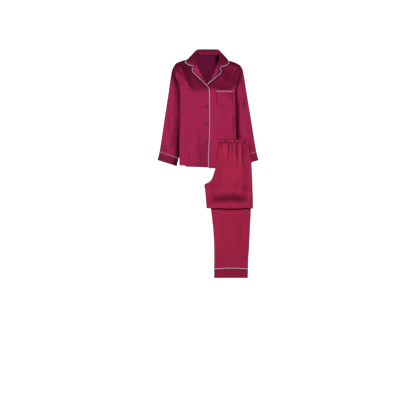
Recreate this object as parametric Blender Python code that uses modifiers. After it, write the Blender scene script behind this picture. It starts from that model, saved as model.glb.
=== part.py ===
"""Satin pyjama set laid flat: a shirt with a notched collar, and long trousers folded over its corner.

The cloth lies on the plane z = 0, +Y runs from the trouser hems to the collar, +X is the wearer's left.
Lengths below are millimetres and become metres where meshes are made.
"""
import math
from bisect import bisect_right
from collections import namedtuple

import bmesh
import bpy
from mathutils import Vector

MM = 0.001

# Cloth, and the gaps that keep the pieces apart.
CLOTH = 1.2
BAND_CLOTH = 1.5
SEAM_GAP = 0.3
ARMHOLE_GAP = 0.7
LAY_GAP = 0.6
PIPING_RADIUS = 1.6
FRONT_LAP = 1.9

# Shirt heights: the sleeves are flat tubes, thinner where the body lies on them.
SLEEVE_HEIGHT = 6.3
TUCKED_HEIGHT = 3.5
CUFF_HEIGHT = 6.6
BACK_LIFT = 4.0
COLLAR_LIFT = 1.7
SIDE_SEAM_HEIGHT = 3.3
SHOULDER_ROLL = 22.0

# Shirt lengths: the seam ends, and how far the back's hem lies inside the fronts' hem.
HEM_REACH = -20.0
SHOULDER_TIP = 588.0
NECK_POINT = 645.0
HEM_TUCK = 2.5
LEFT_HEM_TUCK = 1.0
SLEEVE_FREE = 441.0

# Trousers: four layers folded lengthwise, with a tuck at the knee.
STACK = 8.6
TUCK = 9.0
LOWER_STACK = 8.0
WAIST_STACK = 9.4
EDGE_DROP = 4.6
EDGE_ROLL = 5.0
TUCK_START = -150.0
TUCK_RISE = 55.0
KNEE_FOLD = -270.0
TUCK_END = -200.0
WAIST_TOP = 145.0
WAIST_SEAM = 123.5
HEM_SEAM = -629.0
HEM_END = -685.5

# Buttons, down the right front's edge.
BUTTON_X = -6.0
BUTTON_ROWS = (450.9, 340.5, 239.1, 132.9)
BUTTON_RADIUS = 6.3
BUTTON_THICKNESS = 2.6
BUTTON_RIM = 1.1
HOLE_RADIUS = 0.8
HOLE_OFFSET = 1.6

# Chest pocket.
POCKET_LEFT = 51.6
POCKET_RIGHT = 148.2
POCKET_BOTTOM = 343.5
POCKET_SEAM = 432.6
POCKET_TOP = 458.0
POCKET_CORNER = 15.0
POCKET_DOME = 2.0

Edge = namedtuple("Edge", "along x")
Level = namedtuple("Level", "along z")
Top = namedtuple("Top", "x along")
Tube = namedtuple("Tube", "outer_x outer_y inner_x inner_y open")
Lapel = namedtuple("Lapel", "roll_x roll_y tip_x tip_y")
Collar = namedtuple(
    "Collar", "neck_x neck_y neck_z roll_x roll_y roll_z fold_x fold_y fold_z under_x under_y",
)
Sides = namedtuple("Sides", "along left right")
Shift = namedtuple("Shift", "x shift")
Mark = namedtuple("Mark", "x y lift")

# The body's side edges, hem to shoulder tip; the upper stretches are the armhole seams.
SIDE_RIGHT = (
    Edge(-30, -171.0), Edge(60, -173.5), Edge(124, -174.6), Edge(185, -172.8), Edge(262, -169.5),
    Edge(352, -168.0), Edge(400, -168.6), Edge(441, -171.0), Edge(474, -178.8), Edge(498, -187.2),
    Edge(522, -199.0), Edge(555, -203.5), Edge(590, -205.5),
)
SIDE_LEFT = (
    Edge(-30, 171.0), Edge(60, 173.0), Edge(148, 171.6), Edge(262, 168.6), Edge(352, 166.8),
    Edge(400, 164.0), Edge(441, 165.4), Edge(474, 171.0), Edge(505, 182.6), Edge(530, 193.5),
    Edge(560, 197.5), Edge(590, 198.5),
)
# The front edges: straight to the break of the lapels, then the roll lines, then the neck seam.
CENTRE_RIGHT = (
    Edge(-30, 1.2), Edge(60, 1.2), Edge(124, 4.2), Edge(185, 7.2), Edge(262, 8.4), Edge(352, 7.2),
    Edge(400, 6.8), Edge(438, 5.6), Edge(453, 0.5), Edge(466, -5.0), Edge(482, -10.0), Edge(505, -22.0),
    Edge(540, -40.0), Edge(575, -57.5), Edge(600, -70.5), Edge(612, -74.0), Edge(650, -74.0),
)
CENTRE_LEFT = (
    Edge(-30, -22.0), Edge(400, -20.0), Edge(440, -17.0), Edge(465, -8.0), Edge(481, -1.0), Edge(512, 15.5),
    Edge(545, 33.0), Edge(575, 48.5), Edge(594, 59.0), Edge(606, 67.0), Edge(616, 70.0), Edge(650, 70.0),
)
# The lowest and highest line of the body, over x.
HEM_LINE = (
    Top(-171, -11.0), Top(-140, -12.5), Top(-134, -18.0), Top(-60, -21.0), Top(2, -24.0), Top(8, -29.0),
    Top(42, -29.0), Top(100, -27.0), Top(171, -16.0),
)
SHOULDER_LINE = (
    Top(-206, 588.0), Top(-194, 602.5), Top(-183, 610.0), Top(-171, 616.0), Top(-158, 621.5),
    Top(-140, 627.5), Top(-124, 629.0), Top(-112, 628.5), Top(-100, 632.0), Top(-88, 638.0),
    Top(-74, 645.0), Top(0, 652.0),
    Top(70, 645.0), Top(84, 636.0), Top(96, 627.5), Top(108, 622.5), Top(118, 624.0), Top(131, 621.0),
    Top(144, 616.0), Top(158, 609.5), Top(172, 603.5), Top(184, 597.0), Top(192, 591.5), Top(199, 584.0),
)
# How high the front's cloth stands over the table, and where its side edges lie.
LOFT = (
    Level(-40, 8.4), Level(0, 9.4), Level(100, 12.6), Level(200, 15.8), Level(300, 18.8),
    Level(400, 21.2), Level(432, 21.3), Level(460, 20.2), Level(480, 18.6), Level(520, 15.2),
    Level(560, 11.8), Level(600, 8.6), Level(640, 6.2),
)
# How far along Y the loft's profile is moved, over x.
CHEST_SHIFT = (
    Shift(-168, 22.0), Shift(-108, -18.0), Shift(-45, -8.0), Shift(-6, 4.0), Shift(20, 0.0), Shift(168, 4.0),
)
EDGE_LEVEL = (
    Level(-40, 6.2), Level(400, 6.2), Level(441, 6.3), Level(540, 6.3), Level(565, 5.2), Level(590, 3.6),
)
EDGE_WIDTH = (Level(-40, 14.0), Level(380, 14.0), Level(441, 26.0), Level(500, 36.0), Level(590, 36.0))

# The wearer's right sleeve, from the shoulder tip to the cuff seam. The open rows end at the armhole seam,
# whose x is read from the body's side edge; the others are whole tubes that run in under the body.
SLEEVE_ROWS = (
    Tube(-209.5, 589.0, None, 585.0, True), Tube(-213.0, 574.0, None, 570.0, True),
    Tube(-217.0, 556.0, None, 552.0, True), Tube(-220.6, 538.0, None, 535.0, True),
    Tube(-223.0, 523.0, None, 521.0, True), Tube(-225.2, 510.0, None, 509.0, True),
    Tube(-227.4, 496.0, None, 496.0, True), Tube(-230.4, 476.0, None, 476.0, True),
    Tube(-233.0, 455.0, None, 455.0, True), Tube(-237.0, 427.0, -171.4, 427.0, False),
    Tube(-243.5, 385.0, -170.5, 385.0, False), Tube(-249.5, 345.0, -162.5, 342.0, False),
    Tube(-259.0, 285.0, -156.0, 275.0, False), Tube(-269.0, 215.0, -155.5, 195.0, False),
    Tube(-278.5, 152.0, -158.5, 120.0, False), Tube(-285.5, 106.0, -167.5, 66.0, False),
    Tube(-290.4, 74.2, -175.2, 33.2, False),
)
CUFF_ROWS = (
    Tube(-291.7, 69.2, -176.8, 28.3, False), Tube(-297.4, 45.0, -182.4, 6.4, False),
    Tube(-304.2, 21.3, -187.2, -15.3, False),
)
CUFF_SEAM = Tube(-291.2, 71.6, -176.0, 30.8, False)
MIRROR_SHIFT_TOP = 7.0
MIRROR_SHIFT_CUFF = 0.0

# The turned-back lapels, from the break up to the notch.
LAPEL_RIGHT_ROWS = (
    Lapel(-9.0, 481.0, -12.0, 475.5), Lapel(-20.0, 503.0, -32.0, 496.0), Lapel(-33.0, 528.0, -54.0, 517.5),
    Lapel(-46.0, 553.0, -76.0, 539.5), Lapel(-54.5, 569.5, -91.0, 555.0), Lapel(-62.0, 584.0, -90.0, 566.0),
    Lapel(-69.5, 598.5, -81.5, 583.0),
)
LAPEL_LEFT_ROWS = (
    Lapel(4.5, 491.0, 8.0, 488.0), Lapel(13.5, 508.0, 22.5, 500.5), Lapel(24.0, 528.0, 39.5, 514.5),
    Lapel(34.5, 548.0, 56.5, 529.0), Lapel(42.5, 563.0, 75.5, 548.0), Lapel(49.5, 577.0, 74.0, 561.0),
    Lapel(57.5, 592.0, 69.0, 576.0),
)
LAPEL_LOFT = 1.6

# The collar, around the neck from the wearer's right notch to the left: the foot on the neck seam, the
# roll, the outer fold or edge, and the far edge of the stretch that lies under the back.
COLLAR_ROWS = (
    Collar(-72.5, 602.0, 9.8, -71.0, 603.0, 13.0, -134.0, 606.0, 10.0, None, None),
    Collar(-72.5, 613.0, 9.4, -70.8, 614.0, 14.0, -134.5, 617.0, 9.3, None, None),
    Collar(-72.5, 624.0, 8.6, -70.6, 626.0, 14.8, -128.0, 633.0, 6.3, None, None),
    Collar(-72.0, 635.0, 7.8, -70.2, 640.0, 15.6, -115.0, 640.5, 5.8, -112.0, 634.0),
    Collar(-70.0, 644.0, 7.2, -69.0, 656.0, 16.0, -93.5, 659.0, 5.8, -90.0, 628.0),
    Collar(-62.0, 650.0, 5.4, -66.0, 672.0, 16.0, -77.0, 674.0, 6.2, -62.0, 628.0),
    Collar(-48.0, 653.0, 4.3, -59.0, 680.0, 15.6, -63.0, 682.6, 7.0, -42.0, 630.0),
    Collar(-30.0, 654.0, 4.2, -36.0, 681.6, 15.4, -36.0, 683.9, 8.0, -28.0, 634.0),
    Collar(0.0, 654.0, 4.2, 0.0, 681.6, 15.4, 0.0, 683.9, 8.0, 0.0, 636.0),
    Collar(30.0, 654.0, 4.2, 37.0, 681.6, 15.4, 37.0, 683.9, 8.0, 28.0, 634.0),
    Collar(48.0, 653.0, 4.3, 60.0, 679.5, 15.6, 64.0, 682.0, 7.0, 42.0, 630.0),
    Collar(60.0, 650.0, 5.4, 66.0, 671.0, 16.0, 75.0, 671.5, 6.2, 60.0, 626.0),
    Collar(67.0, 643.0, 7.2, 68.0, 655.0, 16.0, 90.5, 655.5, 5.8, 87.0, 624.0),
    Collar(68.5, 632.0, 7.8, 67.5, 638.0, 15.6, 110.0, 636.0, 5.8, 107.0, 629.0),
    Collar(68.0, 620.0, 8.8, 66.5, 622.0, 14.8, 120.5, 628.0, 6.6, None, None),
    Collar(66.0, 609.0, 9.6, 63.5, 609.5, 14.0, 124.5, 612.0, 9.4, None, None),
    Collar(63.0, 598.5, 10.4, 60.5, 597.5, 13.0, 124.0, 601.0, 10.2, None, None),
)
COLLAR_BOW = 11.0
STAND_SHARE = 0.7
FOLD_THICKNESS = 1.6

# Piping routes; lift is the height of the cord's middle over the cloth under it.
PIPING_FRONT_RIGHT = (
    Mark(3.3, -25.0, 2.3), Mark(3.3, 60.0, 2.3), Mark(6.3, 124.0, 2.3), Mark(9.3, 185.0, 2.3),
    Mark(10.5, 262.0, 2.3), Mark(9.3, 352.0, 2.3), Mark(8.9, 400.0, 2.3), Mark(8.0, 436.0, 2.3),
    Mark(4.2, 452.0, 2.4), Mark(-2.0, 463.5, 2.6), Mark(-10.5, 471.8, 2.6), Mark(-33.0, 493.6, 2.6),
    Mark(-56.0, 516.4, 2.6), Mark(-79.0, 539.0, 2.6), Mark(-92.4, 552.8, 2.6), Mark(-94.2, 559.0, 2.6),
    Mark(-92.6, 566.5, 2.6), Mark(-84.6, 581.5, 2.6),
)
PIPING_FRONT_LEFT = (
    Mark(4.0, 482.5, 4.2), Mark(24.0, 498.6, 2.6), Mark(41.0, 512.8, 2.6), Mark(58.5, 527.6, 2.6),
    Mark(73.0, 540.4, 2.6), Mark(78.6, 548.4, 2.6), Mark(77.6, 560.5, 2.6), Mark(72.6, 575.0, 2.6),
)
PIPING_COLLAR_RIGHT = (
    Mark(-86.0, 586.8, 2.8), Mark(-99.0, 588.4, 2.8), Mark(-114.0, 591.8, 2.8), Mark(-128.5, 598.6, 2.8),
    Mark(-137.0, 606.6, 2.5), Mark(-137.6, 618.0, 2.6), Mark(-132.5, 630.5, 4.2), Mark(-129.6, 637.0, 5.0),
)
PIPING_COLLAR_LEFT = (
    Mark(74.0, 580.6, 2.8), Mark(88.0, 582.6, 2.8), Mark(101.0, 585.6, 2.8), Mark(116.5, 592.6, 2.8),
    Mark(126.0, 600.4, 2.5), Mark(127.4, 612.0, 2.6), Mark(124.0, 624.0, 4.2), Mark(121.6, 630.5, 5.0),
)

# The trousers' outline, waist seam to knee fold, then the lower leg out of the tuck to the hem.
UPPER_EDGES = (
    Sides(145, 62.0, 226.0), Sides(122, 62.0, 228.0), Sides(104, 59.0, 242.0),
    Sides(84, 56.5, 250.5), Sides(64, 54.0, 255.6), Sides(4, 46.5, 261.0),
    Sides(-31, 42.5, 262.5), Sides(-50, 36.5, 263.5), Sides(-74, 29.0, 265.2),
    Sides(-96, 18.5, 266.0), Sides(-109, 5.0, 266.5), Sides(-116, -8.0, 267.0),
    Sides(-124, -22.0, 267.2), Sides(-131, -22.4, 267.3), Sides(-158, -18.6, 268.0),
    Sides(-217, -13.2, 270.0), Sides(-270, -9.0, 270.0),
)
UPPER_ROWS = (
    122.3, 104, 84, 60, 30, 0, -31, -50, -74, -94, -108, -116, -124, -131, -150, -165, -180, -195, -208,
    -235, -255,
)
LOWER_EDGES = (
    Sides(-200, 13.0, 259.0), Sides(-277, 17.4, 257.5), Sides(-307, 21.0, 256.8),
    Sides(-337, 24.6, 255.0), Sides(-397, 30.6, 252.0), Sides(-457, 34.8, 249.0),
    Sides(-517, 36.6, 246.0), Sides(-577, 36.6, 241.8), Sides(-637, 36.0, 240.6),
    Sides(-686, 36.6, 238.8),
)
LOWER_ROWS = (-206, -225, -262, -290, -337, -397, -457, -517, -577, -628.8)
KNEE_RADIUS = 4.5
# The hidden layers: below the cloth over them, in from their edges, in from the waistband and the tuck.
LAYER_CLEAR = 0.5
LAYER_INSET = 0.7
GROOVE_INSET = 2.4
WAIST_INSET = 7.5
TUCK_CLEAR = 2.6

# Colours, roughness and metallic value of each material.
SATIN = ((0.352, 0.021, 0.070, 1.0), 0.38, 0.3)
SATIN_INSIDE = ((0.150, 0.008, 0.036, 1.0), 0.55, 0.0)
PIPING = ((0.640, 0.390, 0.480, 1.0), 0.45, 0.0)
BUTTON = ((0.075, 0.012, 0.036, 1.0), 0.22, 0.0)


# ---------------------------------------------------------------- numbers and curves

def clamp(value):
    return min(1.0, max(0.0, value))


def ease(value):
    """Smooth step from 0 to 1."""
    t = clamp(value)
    return t * t * (3 - 2 * t)


def rounded(value):
    """Quarter of an ellipse from 0 to 1, steep at 0 and level at 1."""
    t = clamp(value)
    return math.sqrt(1 - (1 - t) ** 2)


def mix(low, high, t):
    return low + (high - low) * t


def read(rows, at, key="along", field="z"):
    """Value of a table's column at a place along it, as a smooth curve through the rows."""
    ordered = sorted(rows, key=lambda row: getattr(row, key))
    places = [getattr(row, key) for row in ordered]
    values = [getattr(row, field) for row in ordered]
    last = len(places) - 1
    if at <= places[0]:
        return values[0]
    if at >= places[last]:
        return values[last]
    i = bisect_right(places, at) - 1
    span = places[i + 1] - places[i]
    t = (at - places[i]) / span

    def slope(k):
        if k in (0, last):
            return 0.0
        before = (values[k] - values[k - 1]) / (places[k] - places[k - 1])
        after = (values[k + 1] - values[k]) / (places[k + 1] - places[k])
        if before * after <= 0:
            return 0.0
        return 2 * before * after / (before + after)

    rise = values[i + 1] - values[i]
    start = slope(i) * span if i > 0 else rise
    end = slope(i + 1) * span if i + 1 < last else rise
    return (values[i] + start * t + (3 * rise - 2 * start - end) * t ** 2
            + (start + end - 2 * rise) * t ** 3)


def smooth_route(points, step):
    """Points about one step apart on a smooth curve through the given points."""
    route = []
    for i in range(len(points) - 1):
        before = points[max(i - 1, 0)]
        start, end = points[i], points[i + 1]
        after = points[min(i + 2, len(points) - 1)]
        pieces = max(1, round((end - start).length / step))
        for k in range(pieces):
            t = k / pieces
            route.append(0.5 * (2 * start + (end - before) * t
                                + (2 * before - 5 * start + 4 * end - after) * t ** 2
                                + (3 * start - before - 3 * end + after) * t ** 3))
    route.append(points[-1])
    return route


# ---------------------------------------------------------------- shared heights of the shirt

def hem_line(x):
    return read(HEM_LINE, x, "x", "along")


def shoulder_line(x):
    return read(SHOULDER_LINE, x, "x", "along")


def side_edge(x, y):
    """Distance from the body's nearer side edge."""
    if x < 0:
        return x - read(SIDE_RIGHT, y, field="x")
    return read(SIDE_LEFT, y, field="x") - x


def loft(x, y):
    """Height of the front's face away from its edges."""
    return read(LOFT, y - read(CHEST_SHIFT, x, "x", "shift"))


def collar_zone(x, y):
    """1 where the hidden part of the collar lies under the back."""
    return ease((140 - abs(x + 4)) / 16) * ease((y - 596) / 18)


def front_face(x, y):
    """Height of the front's face, rounded down to the side and shoulder seams."""
    edge = read(EDGE_LEVEL, y)
    face = edge + (loft(x, y) - edge) * rounded(side_edge(x, y) / read(EDGE_WIDTH, y))
    seam = SIDE_SEAM_HEIGHT + COLLAR_LIFT * collar_zone(x, NECK_POINT)
    return seam + (face - seam) * rounded((shoulder_line(x) - y) / SHOULDER_ROLL)


def left_front_face(x, y):
    """The left front dips where the right front laps over it."""
    return front_face(x, y) - FRONT_LAP * (1 - ease((x - 16) / 24))


def back_lift(x, y):
    """Height of the back's underside: up on the tucked sleeves and on the hidden collar."""
    on_sleeve = ease((abs(x) - 112) / 30) * ease((425 - y) / 38)
    return BACK_LIFT * on_sleeve + COLLAR_LIFT * collar_zone(x, y)


# ---------------------------------------------------------------- meshes

def material(name, kind):
    """A piece's own Principled material, in its kind's colour, roughness and metallic value."""
    colour, roughness, metallic = kind
    made = bpy.data.materials.new(name)
    made.use_nodes = True
    made.diffuse_color = colour
    shader = made.node_tree.nodes["Principled BSDF"]
    shader.inputs["Base Color"].default_value = colour
    shader.inputs["Roughness"].default_value = roughness
    shader.inputs["Metallic"].default_value = metallic
    return made


def add_object(name, data, kind, collection):
    """Object of the given mesh or curve, with its own material slot."""
    data.materials.append(material(name, kind))
    made = bpy.data.objects.new(name, data)
    collection.objects.link(made)
    return made


def finish_mesh(name, mesh, kind, collection):
    """Turn a bmesh into a smooth-shaded object."""
    data = bpy.data.meshes.new(name)
    mesh.to_mesh(data)
    mesh.free()
    data.shade_smooth()
    data.set_sharp_from_angle(angle=math.radians(40))
    return add_object(name, data, kind, collection)


def cloth(name, columns, rows, place, collection, wall=CLOTH, kind=SATIN, closed=False, flip=False):
    """Cloth wall: a grid carried onto the outer face that place gives, thickened inwards."""
    across, along = len(columns) - 1, len(rows) - 1
    mesh = bmesh.new()
    bmesh.ops.create_grid(mesh, x_segments=across, y_segments=along, size=0.5)
    for vert in mesh.verts:
        column = columns[round((vert.co.x + 0.5) * across)]
        row = rows[round((vert.co.y + 0.5) * along)]
        vert.co = Vector(place(column, row)) * MM
    if closed:
        bmesh.ops.remove_doubles(mesh, verts=mesh.verts, dist=1e-6)
    if flip:
        bmesh.ops.reverse_faces(mesh, faces=mesh.faces)
    made = finish_mesh(name, mesh, kind, collection)
    solid = made.modifiers.new("Cloth", "SOLIDIFY")
    solid.thickness = wall * MM
    solid.offset = -1
    return made


def layered_block(name, rows, ring, collection, kind=SATIN):
    """Closed solid through rings of points, one ring for each row, with flat ends."""
    mesh = bmesh.new()
    loops = [[mesh.verts.new(Vector(point) * MM) for point in ring(row)] for row in rows]
    for low, high in zip(loops, loops[1:]):
        for i in range(len(low)):
            j = (i + 1) % len(low)
            mesh.faces.new((low[i], low[j], high[j], high[i]))
    mesh.faces.new(list(reversed(loops[0])))
    mesh.faces.new(loops[-1])
    bmesh.ops.recalc_face_normals(mesh, faces=mesh.faces)
    return finish_mesh(name, mesh, kind, collection)


def cord(name, route, collection, radius=PIPING_RADIUS, cyclic=False, kind=PIPING):
    """Piping: a round cord through the route's points, with filled ends."""
    data = bpy.data.curves.new(name, "CURVE")
    data.dimensions = "3D"
    data.bevel_depth = radius * MM
    data.bevel_resolution = 2
    data.use_fill_caps = not cyclic
    spline = data.splines.new("POLY")
    spline.points.add(len(route) - 1)
    for point, place in zip(spline.points, route):
        point.co = (*(Vector(place) * MM), 1.0)
    spline.use_cyclic_u = cyclic
    return add_object(name, data, kind, collection)


def even(count):
    return [i / count for i in range(count + 1)]


# ---------------------------------------------------------------- shirt body

FRONT_COLUMNS = (0.0, 0.012, 0.045, 0.11, 0.24, 0.5, 0.78, 1.0)
BACK_COLUMNS = (0.0, 0.06, 0.12, 0.2, 0.245, 0.29, 0.335, 0.5, 0.675, 0.72, 0.77, 0.82, 0.88, 0.94, 1.0)
FRONT_ROWS = (
    0.0, 0.08, 0.17, 0.26, 0.36, 0.46, 0.55, 0.62, 0.66, 0.695, 0.715, 0.735, 0.755, 0.78, 0.81, 0.85,
    0.885, 0.92, 0.945, 0.965, 0.98, 0.99, 1.0,
)
BACK_ROWS = (
    0.0, 0.2, 0.4, 0.55, 0.6, 0.64, 0.67, 0.7, 0.73, 0.76, 0.785, 0.81, 0.835, 0.87, 0.91, 0.94, 0.97, 1.0,
)


def panel_height(x, v, hem_rise):
    """Place along Y of a share v of the way up from the hem to the shoulder."""
    return mix(hem_line(x) + hem_rise, shoulder_line(x), v)


def edge_point(edge, v, hem_rise):
    """Where a panel's edge crosses the share v of the way up, found by stepping onto the edge's table."""
    x = read(edge, mix(HEM_REACH, SHOULDER_TIP, v), field="x")
    for _ in range(12):
        x = read(edge, panel_height(x, v, hem_rise), field="x")
    return x


def between(u, v, first, second, hem_rise=0.0):
    """Point of a body panel, across from one edge table to the other and up from hem to shoulder."""
    x = mix(edge_point(first, v, hem_rise), edge_point(second, v, hem_rise), u)
    return x, panel_height(x, v, hem_rise)


def make_back(collection):
    def place(u, v):
        x, y = between(u, v, SIDE_RIGHT, SIDE_LEFT, HEM_TUCK)
        return x, y, back_lift(x, y) + CLOTH
    cloth("shirt_back", BACK_COLUMNS, BACK_ROWS, place, collection, kind=SATIN_INSIDE)


def make_fronts(collection):
    def right(u, v):
        x, y = between(u, v, SIDE_RIGHT, CENTRE_RIGHT)
        return x, y, front_face(x, y)

    def left(u, v):
        x, y = between(u, v, SIDE_LEFT, CENTRE_LEFT, LEFT_HEM_TUCK)
        return x, y, left_front_face(x, y)

    cloth("shirt_front_right", FRONT_COLUMNS, FRONT_ROWS, right, collection)
    cloth("shirt_front_left", FRONT_COLUMNS, FRONT_ROWS, left, collection, flip=True)


def make_lapels(collection):
    def lapel(under):
        def place(u, row):
            x = mix(row.roll_x, row.tip_x, u)
            y = mix(row.roll_y, row.tip_y, u)
            return x, y, under(x, y) + LAY_GAP + CLOTH + LAPEL_LOFT * math.sin(math.pi * u)
        return place

    cloth("lapel_right", even(3), LAPEL_RIGHT_ROWS, lapel(front_face), collection, flip=True)
    cloth("lapel_left", even(3), LAPEL_LEFT_ROWS, lapel(left_front_face), collection)


def collar_section(row):
    """Nine points from the neck seam over the roll to the collar's outer edge."""
    neck = Vector((row.neck_x, row.neck_y, row.neck_z))
    roll = Vector((row.roll_x, row.roll_y, row.roll_z))
    fold = Vector((row.fold_x, row.fold_y, row.fold_z))
    out = (fold - roll).normalized()
    stand = neck.lerp(roll, STAND_SHARE) + Vector((-0.6 * out.x, -0.6 * out.y, 0.4 - 0.6 * out.z))
    if row.under_x is None:
        bow = Vector((0, -COLLAR_BOW * clamp((632 - row.roll_y) / 27), 0))
        leaf = [roll.lerp(fold, k / 6) + bow * math.sin(math.pi * (k / 6) ** 0.75) for k in range(1, 7)]
        return [neck, stand, roll, *leaf]
    flat_out = Vector((out.x, out.y, 0)).normalized()
    under = Vector((row.under_x, row.under_y, 0))
    side = fold + flat_out * FOLD_THICKNESS
    side.z = fold.z * 0.45
    foot = Vector((fold.x, fold.y, 0))
    return [neck, stand, roll, roll.lerp(fold, 0.5), fold, side, foot, foot.lerp(under, 0.5), under]


def make_collar(collection):
    sections = [collar_section(row) for row in COLLAR_ROWS]
    cloth("collar", range(len(sections)), range(9), lambda i, k: sections[i][k], collection)


# ---------------------------------------------------------------- sleeves and cuffs

# Points around a flat tube: on each rolled side, at the seam's lip, and across each flat face.
RING_SIDE = 4
OPEN_LIP = 0.6
RING_FLAT = (0.93, 0.78, 0.6, 0.12)
INNER_TURN = 0.72
OUTER_TURN = 0.86
# The cuff's cord: clear of the table, sunk below the cuff's top, and inside its rolled sides.
CORD_CLEAR = 0.05
CORD_SINK = 0.6
CORD_INSET = 1.2


def tube_point(row, k, base, height, steps=RING_FLAT):
    """Point k around a flat tube: from the inner edge along its underside, and back over its top."""
    outer = Vector((row.outer_x, row.outer_y, 0))
    inner = Vector((row.inner_x, row.inner_y, 0))
    width = (inner - outer).length
    across = (inner - outer) / width
    flat = len(steps)
    count = 2 * flat + 2 * RING_SIDE

    def at(distance, level):
        spot = outer + across * distance
        spot.z = base(spot.x, spot.y) + level * height(spot.x, spot.y)
        return spot

    inner_radius = min(height(inner.x, inner.y) / 2, width * 0.3)
    outer_radius = min(height(outer.x, outer.y) / 2, width * 0.3)
    half = RING_SIDE // 2
    if k <= half or k >= count - half:
        turn = k if k <= half else k - count
        if row.open:
            return at(width - abs(turn) * OPEN_LIP, 0.0 if k <= half else 1.0)
        angle = -turn / half * math.pi / 2 * INNER_TURN
        return at(width - inner_radius + inner_radius * math.cos(angle), 0.5 + 0.5 * math.sin(angle))
    if half < k <= half + flat:
        return at(outer_radius + (width - inner_radius - outer_radius) * steps[k - half - 1], 0.0)
    if k >= count - half - flat:
        return at(outer_radius + (width - inner_radius - outer_radius) * steps[count - half - k - 1], 1.0)
    turn = (k - half - flat) / RING_SIDE
    angle = (turn - 0.5) * math.pi * OUTER_TURN
    return at(outer_radius - outer_radius * math.cos(angle), 0.5 + 0.5 * math.sin(angle))


def on_right(row):
    """A section of the wearer's right sleeve, with the armhole seam's x filled in."""
    if row.inner_x is None:
        return row._replace(inner_x=read(SIDE_RIGHT, row.inner_y, field="x") - ARMHOLE_GAP)
    return row


def on_left(row):
    """The same section on the wearer's left, where the shoulder is a little narrower."""
    shift = mix(MIRROR_SHIFT_CUFF, MIRROR_SHIFT_TOP, clamp(row.outer_y / SHOULDER_TIP))
    if row.inner_x is None:
        seam = read(SIDE_LEFT, row.inner_y, field="x") + ARMHOLE_GAP
        return row._replace(outer_x=-row.outer_x - shift, inner_x=seam)
    return row._replace(outer_x=-row.outer_x - shift, inner_x=-row.inner_x - shift)


def sleeve_height(x, y):
    """A sleeve is full outside the body's edge and pressed thin under it."""
    full = read(EDGE_LEVEL, y) if y > SLEEVE_FREE else SLEEVE_HEIGHT
    tucked = ease((side_edge(x, y) + 24) / 14) * ease((424 - y) / 36)
    return mix(full, TUCKED_HEIGHT, tucked)


def make_tube(name, rows, height, collection, flip, wall=CLOTH, kind=SATIN, base=lambda x, y: 0.0):
    count = 2 * len(RING_FLAT) + 2 * RING_SIDE
    cloth(name, range(count + 1), rows, lambda k, row: tube_point(row, k, base, height), collection,
          wall=wall, kind=kind, closed=True, flip=flip)


def make_sleeves(collection):
    def cuff_height(x, y):
        return CUFF_HEIGHT

    for side, turn in (("right", on_right), ("left", on_left)):
        flip = side == "right"
        make_tube(f"sleeve_{side}", [turn(row) for row in SLEEVE_ROWS], sleeve_height, collection, flip)
        make_tube(f"cuff_{side}", [turn(row) for row in CUFF_ROWS], cuff_height, collection, flip,
                  wall=BAND_CLOTH)
        make_tube_cord(f"piping_cuff_{side}", turn(CUFF_SEAM), CUFF_HEIGHT, collection)


def make_tube_cord(name, row, height, collection):
    """Piping all round a flat tube's seam, standing a little proud on top."""
    outer = Vector((row.outer_x, row.outer_y, 0))
    inner = Vector((row.inner_x, row.inner_y, 0))
    across = (inner - outer).normalized()
    low = PIPING_RADIUS + CORD_CLEAR
    high = height - CORD_SINK
    middle, radius = (low + high) / 2, (high - low) / 2
    start = radius + CORD_INSET
    end = (inner - outer).length - start

    def at(reach, level):
        return outer + across * reach + Vector((0, 0, level))

    def turn(centre, way, degrees):
        angle = math.radians(degrees)
        return at(centre + way * radius * math.cos(angle), middle + radius * math.sin(angle))

    route = [at(mix(start, end, share), high) for share in even(4)]
    route += [turn(end, 1, degrees) for degrees in (55, 0, -55)]
    route += [at(mix(end, start, share), low) for share in even(4)]
    route += [turn(start, -1, degrees) for degrees in (-55, 0, 55)]
    cord(name, route, collection, cyclic=True)


# ---------------------------------------------------------------- piping, pocket and buttons

def make_piping(collection):
    def route(marks, under, step):
        """Points about a step apart through the marks, each at its lift over the cloth under it."""
        lifts = [Vector((mark.x, mark.y, mark.lift)) for mark in marks]
        return [Vector((p.x, p.y, under(p.x, p.y) + p.z)) for p in smooth_route(lifts, step)]

    cord("piping_front_right", route(PIPING_FRONT_RIGHT, left_front_or_right, 16), collection)
    cord("piping_front_left", route(PIPING_FRONT_LEFT, left_front_face, 12), collection)
    cord("piping_collar_right", route(PIPING_COLLAR_RIGHT, shoulder_face, 9), collection)
    cord("piping_collar_left", route(PIPING_COLLAR_LEFT, shoulder_face, 9), collection)


def left_front_or_right(x, y):
    """The cloth under the right front's piping: the left front below the break, the right front above."""
    return mix(left_front_face(x, y), front_face(x, y), ease((y - 440) / 16))


def shoulder_face(x, y):
    """The front's face, carried on level past the shoulder seam."""
    return front_face(x, min(y, shoulder_line(x) - 1.0))


def pocket_x(u, y):
    """The pocket's sides run in at its rounded lower corners."""
    depth = clamp(1 - (y - POCKET_BOTTOM) / POCKET_CORNER)
    inset = POCKET_CORNER * (1 - math.sqrt(1 - depth ** 2)) * 0.92
    return mix(POCKET_LEFT + inset, POCKET_RIGHT - inset, u)


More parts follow.
